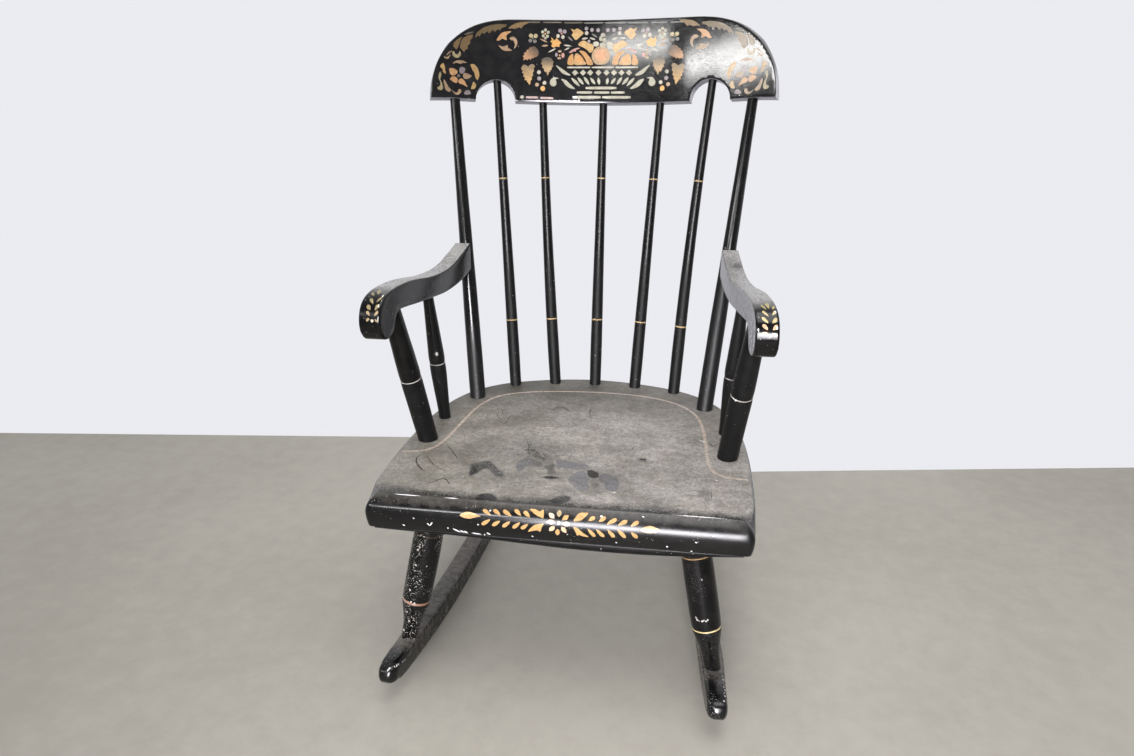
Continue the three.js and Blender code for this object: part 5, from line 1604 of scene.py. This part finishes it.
def rocker_top(m, d, dc, base, mark, nz, fine, big, mid):
    """The front ends are handled clean; behind them the dust is uneven."""
    x, y, z = m.xyz(m.co)
    y2 = m.add(y, m.add(m.mul(m.sub(mid, 0.5), 0.03), m.mul(m.sub(big, 0.5), 0.04)))
    d = m.mul(d, m.step(y2, -0.212, -0.176))
    d = m.mul(d, m.step(m.noise(110, 6, 0.75, (2, 2, 6)), 0.38, 0.60, 0.32, 1.0))
    return d, dc, base


def leg_zone(m):
    """Chips lie thick on the outer half of the left leg and thin elsewhere."""
    x, y, z = m.xyz(m.co)
    n = m.noise(34, 3, 0.6, (3, 9, 2))
    outer = m.step(m.add(x, m.mul(m.sub(z, 0.12), -0.19)), -0.136, -0.150)
    low = m.step(z, 0.09, 0.07)
    zone = m.step(m.add(n, m.mul(m.top(outer, m.mul(low, 0.8)), 0.16)), 0.47, 0.62, 0.03, 1.0)
    return m.mul(zone, m.step(x, 0.0, 0.1, 1.0, 0.16))


def roll_zone(m):
    return m.step(m.noise(30, 3, 0.6, (5, 2, 2)), 0.46, 0.62, 0.08, 1.0)


def tip_zone(m):
    n = m.noise(48, 3, 0.6, (1, 4, 2))
    return m.mul(m.step(n, 0.46, 0.60, 0.04, 1.0), m.step(m.xyz(m.co)[1], -0.08, -0.16, 0.3, 1.0))


def assemble():
    seat_mat = enamel("seat_enamel", (60, 900, 900), 0.165, 0.97, (0.297, 0.281, 0.257), 0.05, fleck_zone=roll_zone, dust_from=(0.62, 0.97), extra=seat_dust_and_painted_light, dull=seat_dull, spec=0.38, side_dust=0.012, dust_off=0.9, paint_wear=0.35, paint_rough=0.04)
    roll_mat = enamel("roll_enamel", (60, 900, 900), 0.42, 0.0, side_dust=0.0, spec=0.2)
    # the crest's black is given a lighter tint than the other pieces' black: painted light, making up for the lesser
    # light that reaches the crest
    crest_mat = enamel("crest_enamel", (45, 900, 900), 0.074, 0.35, flecks=0.008, tint=(0.0046, 0.0045, 0.0047), side_dust=0.015, extra=crest_edges_painted_reflection, paint_rough=0.10, spread=0.14, brushed=0.055, grain_depth=0.000014)
    arm_mat = enamel("arm_enamel", (900, 80, 700), 0.15, 0.70, (0.36, 0.352, 0.340), side_dust=0.03, extra=arm_top, spec=0.3, dust_rough=0.22, dust_from=(0.55, 0.95), paint_rough=0.05)
    turned_mat = enamel("turned_enamel", (400, 400, 40), 0.17, 0.3, side_dust=0.004, grain_depth=0.0000018, spec=0.33, grain_detail=1, spread=0.08, dull=turned_dull, flecks=0.012, chips=TURNED_CHIPS)
    spindle_mat = enamel("spindle_enamel", (400, 400, 40), 0.33, 0.3, side_dust=0.004, grain_depth=0.000002, spec=0.23, grain_detail=1, spread=0.08, dull=spindle_dull, flecks=0.012)
    arm_post_mat = enamel("arm_post_enamel", (400, 400, 40), 0.17, 0.3, side_dust=0.004, grain_depth=0.0000018, spec=0.23, grain_detail=1, spread=0.08, dull=turned_dull, flecks=0.012, chips=TURNED_CHIPS)
    leg_mat = enamel("leg_enamel", (700, 700, 60), 0.17, 0.4, flecks=0.8, side_dust=0.004, spec=0.26, fleck_zone=leg_zone, chips=LEG_CHIPS)
    rocker_mat = enamel("rocker_enamel", (700, 60, 700), 0.20, 0.78, (0.215, 0.196, 0.172), flecks=0.5, side_dust=0.45, spec=0.34, extra=rocker_top, fleck_zone=tip_zone, chips=ROCKER_CHIPS)

    build("seat_board", seat_body(), "seat_plank", seat_mat)
    build("front_edge_strip", strip_body(), "front_roll_strip", roll_mat)
    build("top_rail_board", crest_body(), "crest_rail", crest_mat)

    for side, tag in ((-1, "left"), (1, "right")):
        # back post
        a = mirror((146.7, 281.2, 0), side)
        b = mirror((182.4 if side < 0 else 183.0, float(crest_y(182, 368)), 368), side)
        L = np.linalg.norm(b - a)
        prof = [(-8, 10.0), (0, 10.0), (0.03 * L, 10.0), (0.25 * L, 9.7), (0.5 * L, 8.5), (0.75 * L, 7.3), (L, 6.15), (L + 8, 6.1)]
        body = Body()
        turn(body, a, b, prof, (), 44, -1.5, crest_low(172) + 0.6, step=6.0, wobble=0.12, seed=side * 3)
        build("back_post_turned_" + tag, body, "back_post_" + tag, turned_mat)
        # arm and its posts
        build("arm_board_" + tag, arm_body(side), "arm_" + tag, arm_mat)
        a, b = mirror((169.1, 144, 0), side), mirror((185, 103.5, 163), side)
        L = np.linalg.norm(b - a)
        prof = [(-8, 11.2), (0, 11.2), (0.1 * L, 11.3), (0.3 * L, 11.6), (0.462 * L, 11.8), (0.485 * L, 11.6), (0.5 * L, 11.35), (0.515 * L, 11.5), (0.54 * L, 11.7),
                (0.66 * L, 11.35), (0.78 * L, 10.7), (L, 9.7), (L + 3, 9.6)]
        body = Body()
        turn(body, a, b, prof, ((0.492 * L, 0.498 * L, PALE, 0.2),), 48, -1.5, None, step=6.0, wobble=0.1, seed=side * 5)
        build("front_arm_post_turned_" + tag, body, "front_arm_post_" + tag, arm_post_mat)
        a, b = mirror((168.7, 207.5, 0), side), mirror((176.2, 195, 155.2), side)
        L = np.linalg.norm(b - a)
        prof = [(-8, 7.0), (0, 7.0), (0.08 * L, 7.2), (0.25 * L, 8.4), (0.43 * L, 9.4), (0.455 * L, 9.2), (0.47 * L, 8.9), (0.49 * L, 9.2), (0.51 * L, 9.4), (0.62 * L, 8.7),
                (0.75 * L, 7.8), (L, 6.2), (L + 3, 6.2)]
        body = Body()
        turn(body, a, b, prof, ((0.464 * L, 0.471 * L, PALE, 0.2),), 40, -1.5, None, step=6.0, wobble=0.1, seed=side * 7)
        build("rear_arm_post_turned_" + tag, body, "rear_arm_post_" + tag, turned_mat)
        # legs
        for name, top, foot in (("front_leg", (133.4, 47.1, -33), (161.2, 20.2, -178.6)), ("rear_leg", (122, 272, -33), (144.2, 311, -185.4))):
            a, b = mirror(top, side), mirror(foot, side)
            L = np.linalg.norm(b - a)
            r = 0.693 * L
            prof = [(-14, 15.2), (0, 15.25), (12, 15.3), (0.5 * r, 15.6), (r - 8, 15.2), (r - 2, 14.9), (r, 14.5), (r + 2, 14.75), (r + 5, 14.2), (r + 11, 12.8), (r + 16.5, 11.5),
                    (r + 22, 10.3), (r + 33, 9.0), (L, 8.5), (L + 5, 8.5)]
            body = Body()
            # the leg runs downwards, so its level cut is at the start
            turn_down(body, a, b, prof, ((r - 1.9, r + 0.9, COPPER, 0.35) if side < 0 else (r - 0.75, r + 0.75, BRASS, 0.35), (26.4, 27.6, BROWN if side > 0 else (0.03, 0.022, 0.014, 0.6), 0.0)), 56, -SEAT_T + 1.2, step=5.0, wobble=0.15, seed=side * 9 + len(name))
            build(name + "_turned_" + tag, body, name + "_" + tag, leg_mat)
        build("rocker_board_" + tag, rocker_body(side), "rocker_" + tag, rocker_mat)

    seats = [(-107.2, 333.6), (-54.4, 347.4), (0, 351.5), (54.4, 347.4), (107.2, 333.6)]
    tops = [(-132.8, 389.5), (-76.0, 362.8), (0.8, 361.8), (72.8, 362.8), (135.6, 389.5)]
    sways = [(0, 0), (-1.8, 0), (0, 0), (0, 0), (-2.6, 0)]
    for i, ((x, y), (tx, tz), sw) in enumerate(zip(seats, tops, sways)):
        a = np.array([x, y, 0.0])
        b = np.array([tx, float(crest_y(tx, tz)), tz])
        L = np.linalg.norm(b - a)
        lo, hi = 88.0 / b[2] * L, 270.0 / b[2] * L
        prof = [(-6, 7.5), (0, 7.5), (0.12 * L, 7.65), (0.3 * L, 7.2), (0.55 * L, 6.3), (0.8 * L, 5.45), (L, 4.9), (L + 8, 4.9)]
        body = Body()
        turn(body, a, b, prof, ((lo - 0.8, lo + 0.8, GOLD, 0.0), (hi - 0.8, hi + 0.8, GOLD, 0.0)), 36, -1.5, crest_low(tx) + 0.8, sway=sw, step=7.0, wobble=0.08, seed=i)
        build("back_spindle_%d" % (i + 1), body, "spindle_%d" % (i + 1), spindle_mat)


def turn_down(body, a, b, profile, bands, seg, top, step, wobble, seed):
    """As turn, for a piece whose axis runs downwards from its level top end."""
    a, b = np.asarray(a, float), np.asarray(b, float)
    L = np.linalg.norm(b - a)
    end = profile[-1][0]
    prof = [(end - s, r) for s, r in profile[::-1]]
    w = (b - a) / L
    start = a + w * end
    flipped = [(end - t, end - f, c, d) for f, t, c, d in bands]
    turn(body, start, start - w * end, prof, flipped, seg, None, top, step=step, wobble=wobble, seed=seed)


assemble()


# ------------------------------------------------------------------ floor, light, camera
def stage():
    me = bpy.data.meshes.new("floor")
    me.from_pydata([(-3.2, -2.6, -0.0004), (3.2, -2.6, -0.0004), (3.2, 0.86, -0.0004), (0.16, 0.334, -0.0004), (-0.1, 0.430, -0.0004), (-3.2, 0.045, -0.0004)], [], [(0, 1, 2, 3, 4, 5)])
    floor = bpy.data.objects.new("floor", me)
    bpy.context.scene.collection.objects.link(floor)
    m = Mat("floor_finish")
    n = m.noise(2.2, 5, 0.55)
    f = m.noise(38, 4, 0.6)
    col = m.mix(m.step(m.add(m.mul(n, 0.6), m.mul(f, 0.4)), 0.35, 0.65), (0.268, 0.254, 0.218), (0.317, 0.303, 0.263))
    m.put(m.b.inputs["Base Color"], col)
    m.b.inputs["Roughness"].default_value = 0.62
    m.put(m.b.inputs["Normal"], m.bump(f, 0.0004, 0.5))
    me.materials.append(m.m)

    w = bpy.data.worlds.new("studio")
    bpy.context.scene.world = w
    w.use_nodes = True
    t = w.node_tree
    t.nodes.clear()
    out = t.nodes.new("ShaderNodeOutputWorld")
    bg = t.nodes.new("ShaderNodeBackground")
    tc = t.nodes.new("ShaderNodeTexCoord")
    sp = t.nodes.new("ShaderNodeSeparateXYZ")
    mr = t.nodes.new("ShaderNodeMapRange")
    rp = t.nodes.new("ShaderNodeValToRGB")
    t.links.new(tc.outputs["Generated"], sp.inputs[0])
    t.links.new(sp.outputs[1], mr.inputs[0])
    mr.inputs[1].default_value = -1.0
    mr.inputs[2].default_value = 1.0
    t.links.new(mr.outputs[0], rp.inputs[0])
    e = rp.color_ramp.elements
    e[0].position, e[0].color = 0.30, (0.31, 0.31, 0.33, 1)
    e[1].position, e[1].color = 0.72, (0.83, 0.835, 0.875, 1)
    t.links.new(rp.outputs[0], bg.inputs[0])
    bg.inputs[1].default_value = 1.0
    t.links.new(bg.outputs[0], out.inputs[0])

    def area(name, at, to, size, power, colour=(1, 1, 1), size_y=None, spread=180.0):
        d = bpy.data.lights.new(name, "AREA")
        d.energy = power
        d.color = colour
        d.shape = "RECTANGLE" if size_y else "SQUARE"
        d.size = size
        d.spread = math.radians(spread)
        if size_y:
            d.size_y = size_y
        o = bpy.data.objects.new(name, d)
        o.location = at
        o.rotation_mode = "QUATERNION"
        o.rotation_quaternion = (Vector(to) - Vector(at)).to_track_quat("-Z", "Y")
        bpy.context.scene.collection.objects.link(o)
        return o

    area("key_soft", (-0.955, -3.435, 1.944), (0.037, 0.207, 0.646), 1.08, 9.6, (1.0, 0.99, 0.96), 0.082)
    area("side_near", (-1.960, -3.025, 1.795), (0.159, 0.176, 0.627), 0.56, 7.4, (1.0, 0.99, 0.97), 0.13)
    area("side_far", (-2.577, -2.512, 1.770), (0.159, 0.176, 0.627), 1.05, 19.6, (1.0, 0.99, 0.97), 0.215)
    area("front_soft", (0.095, -2.146, 0.623), (0.1, -0.19, 0.2), 0.78, 6.6, (0.985, 0.955, 1.0), 0.76, 40.0)
    area("upper_soft", (-1.16, -3.30, 2.30), (0.0, 0.15, 0.5), 1.05, 5.5, (0.92, 0.96, 1.0), 0.36)
    area("front_line", (-0.275, -0.985, 0.64), (-0.03, -0.19, 0.2), 0.45, 0.19, (1.0, 1.0, 1.0), 0.05, 60.0)
    area("top_soft", (0.25, -0.35, 2.3), (0.02, -0.05, 0.2), 1.5, 32.0, (1.0, 0.98, 0.96))

    cam = bpy.data.cameras.new("view")
    co = bpy.data.objects.new("view", cam)
    bpy.context.scene.collection.objects.link(co)
    cam.sensor_fit = "HORIZONTAL"
    cam.sensor_width = 36.0
    cam.lens = 24.228
    right = Vector((0.98868999, 0.1499684, -0.00125645))
    fwd = Vector((-0.14123051, 0.92820004, -0.3442363))
    down = fwd.cross(right)
    R = Matrix((right, -down, -fwd)).transposed()
    co.matrix_world = Matrix.Translation(Vector((0.109391, -0.820024, 0.581563))) @ R.to_4x4()
    bpy.context.scene.camera = co
    bpy.context.scene.view_settings.view_transform = "Standard"


stage()
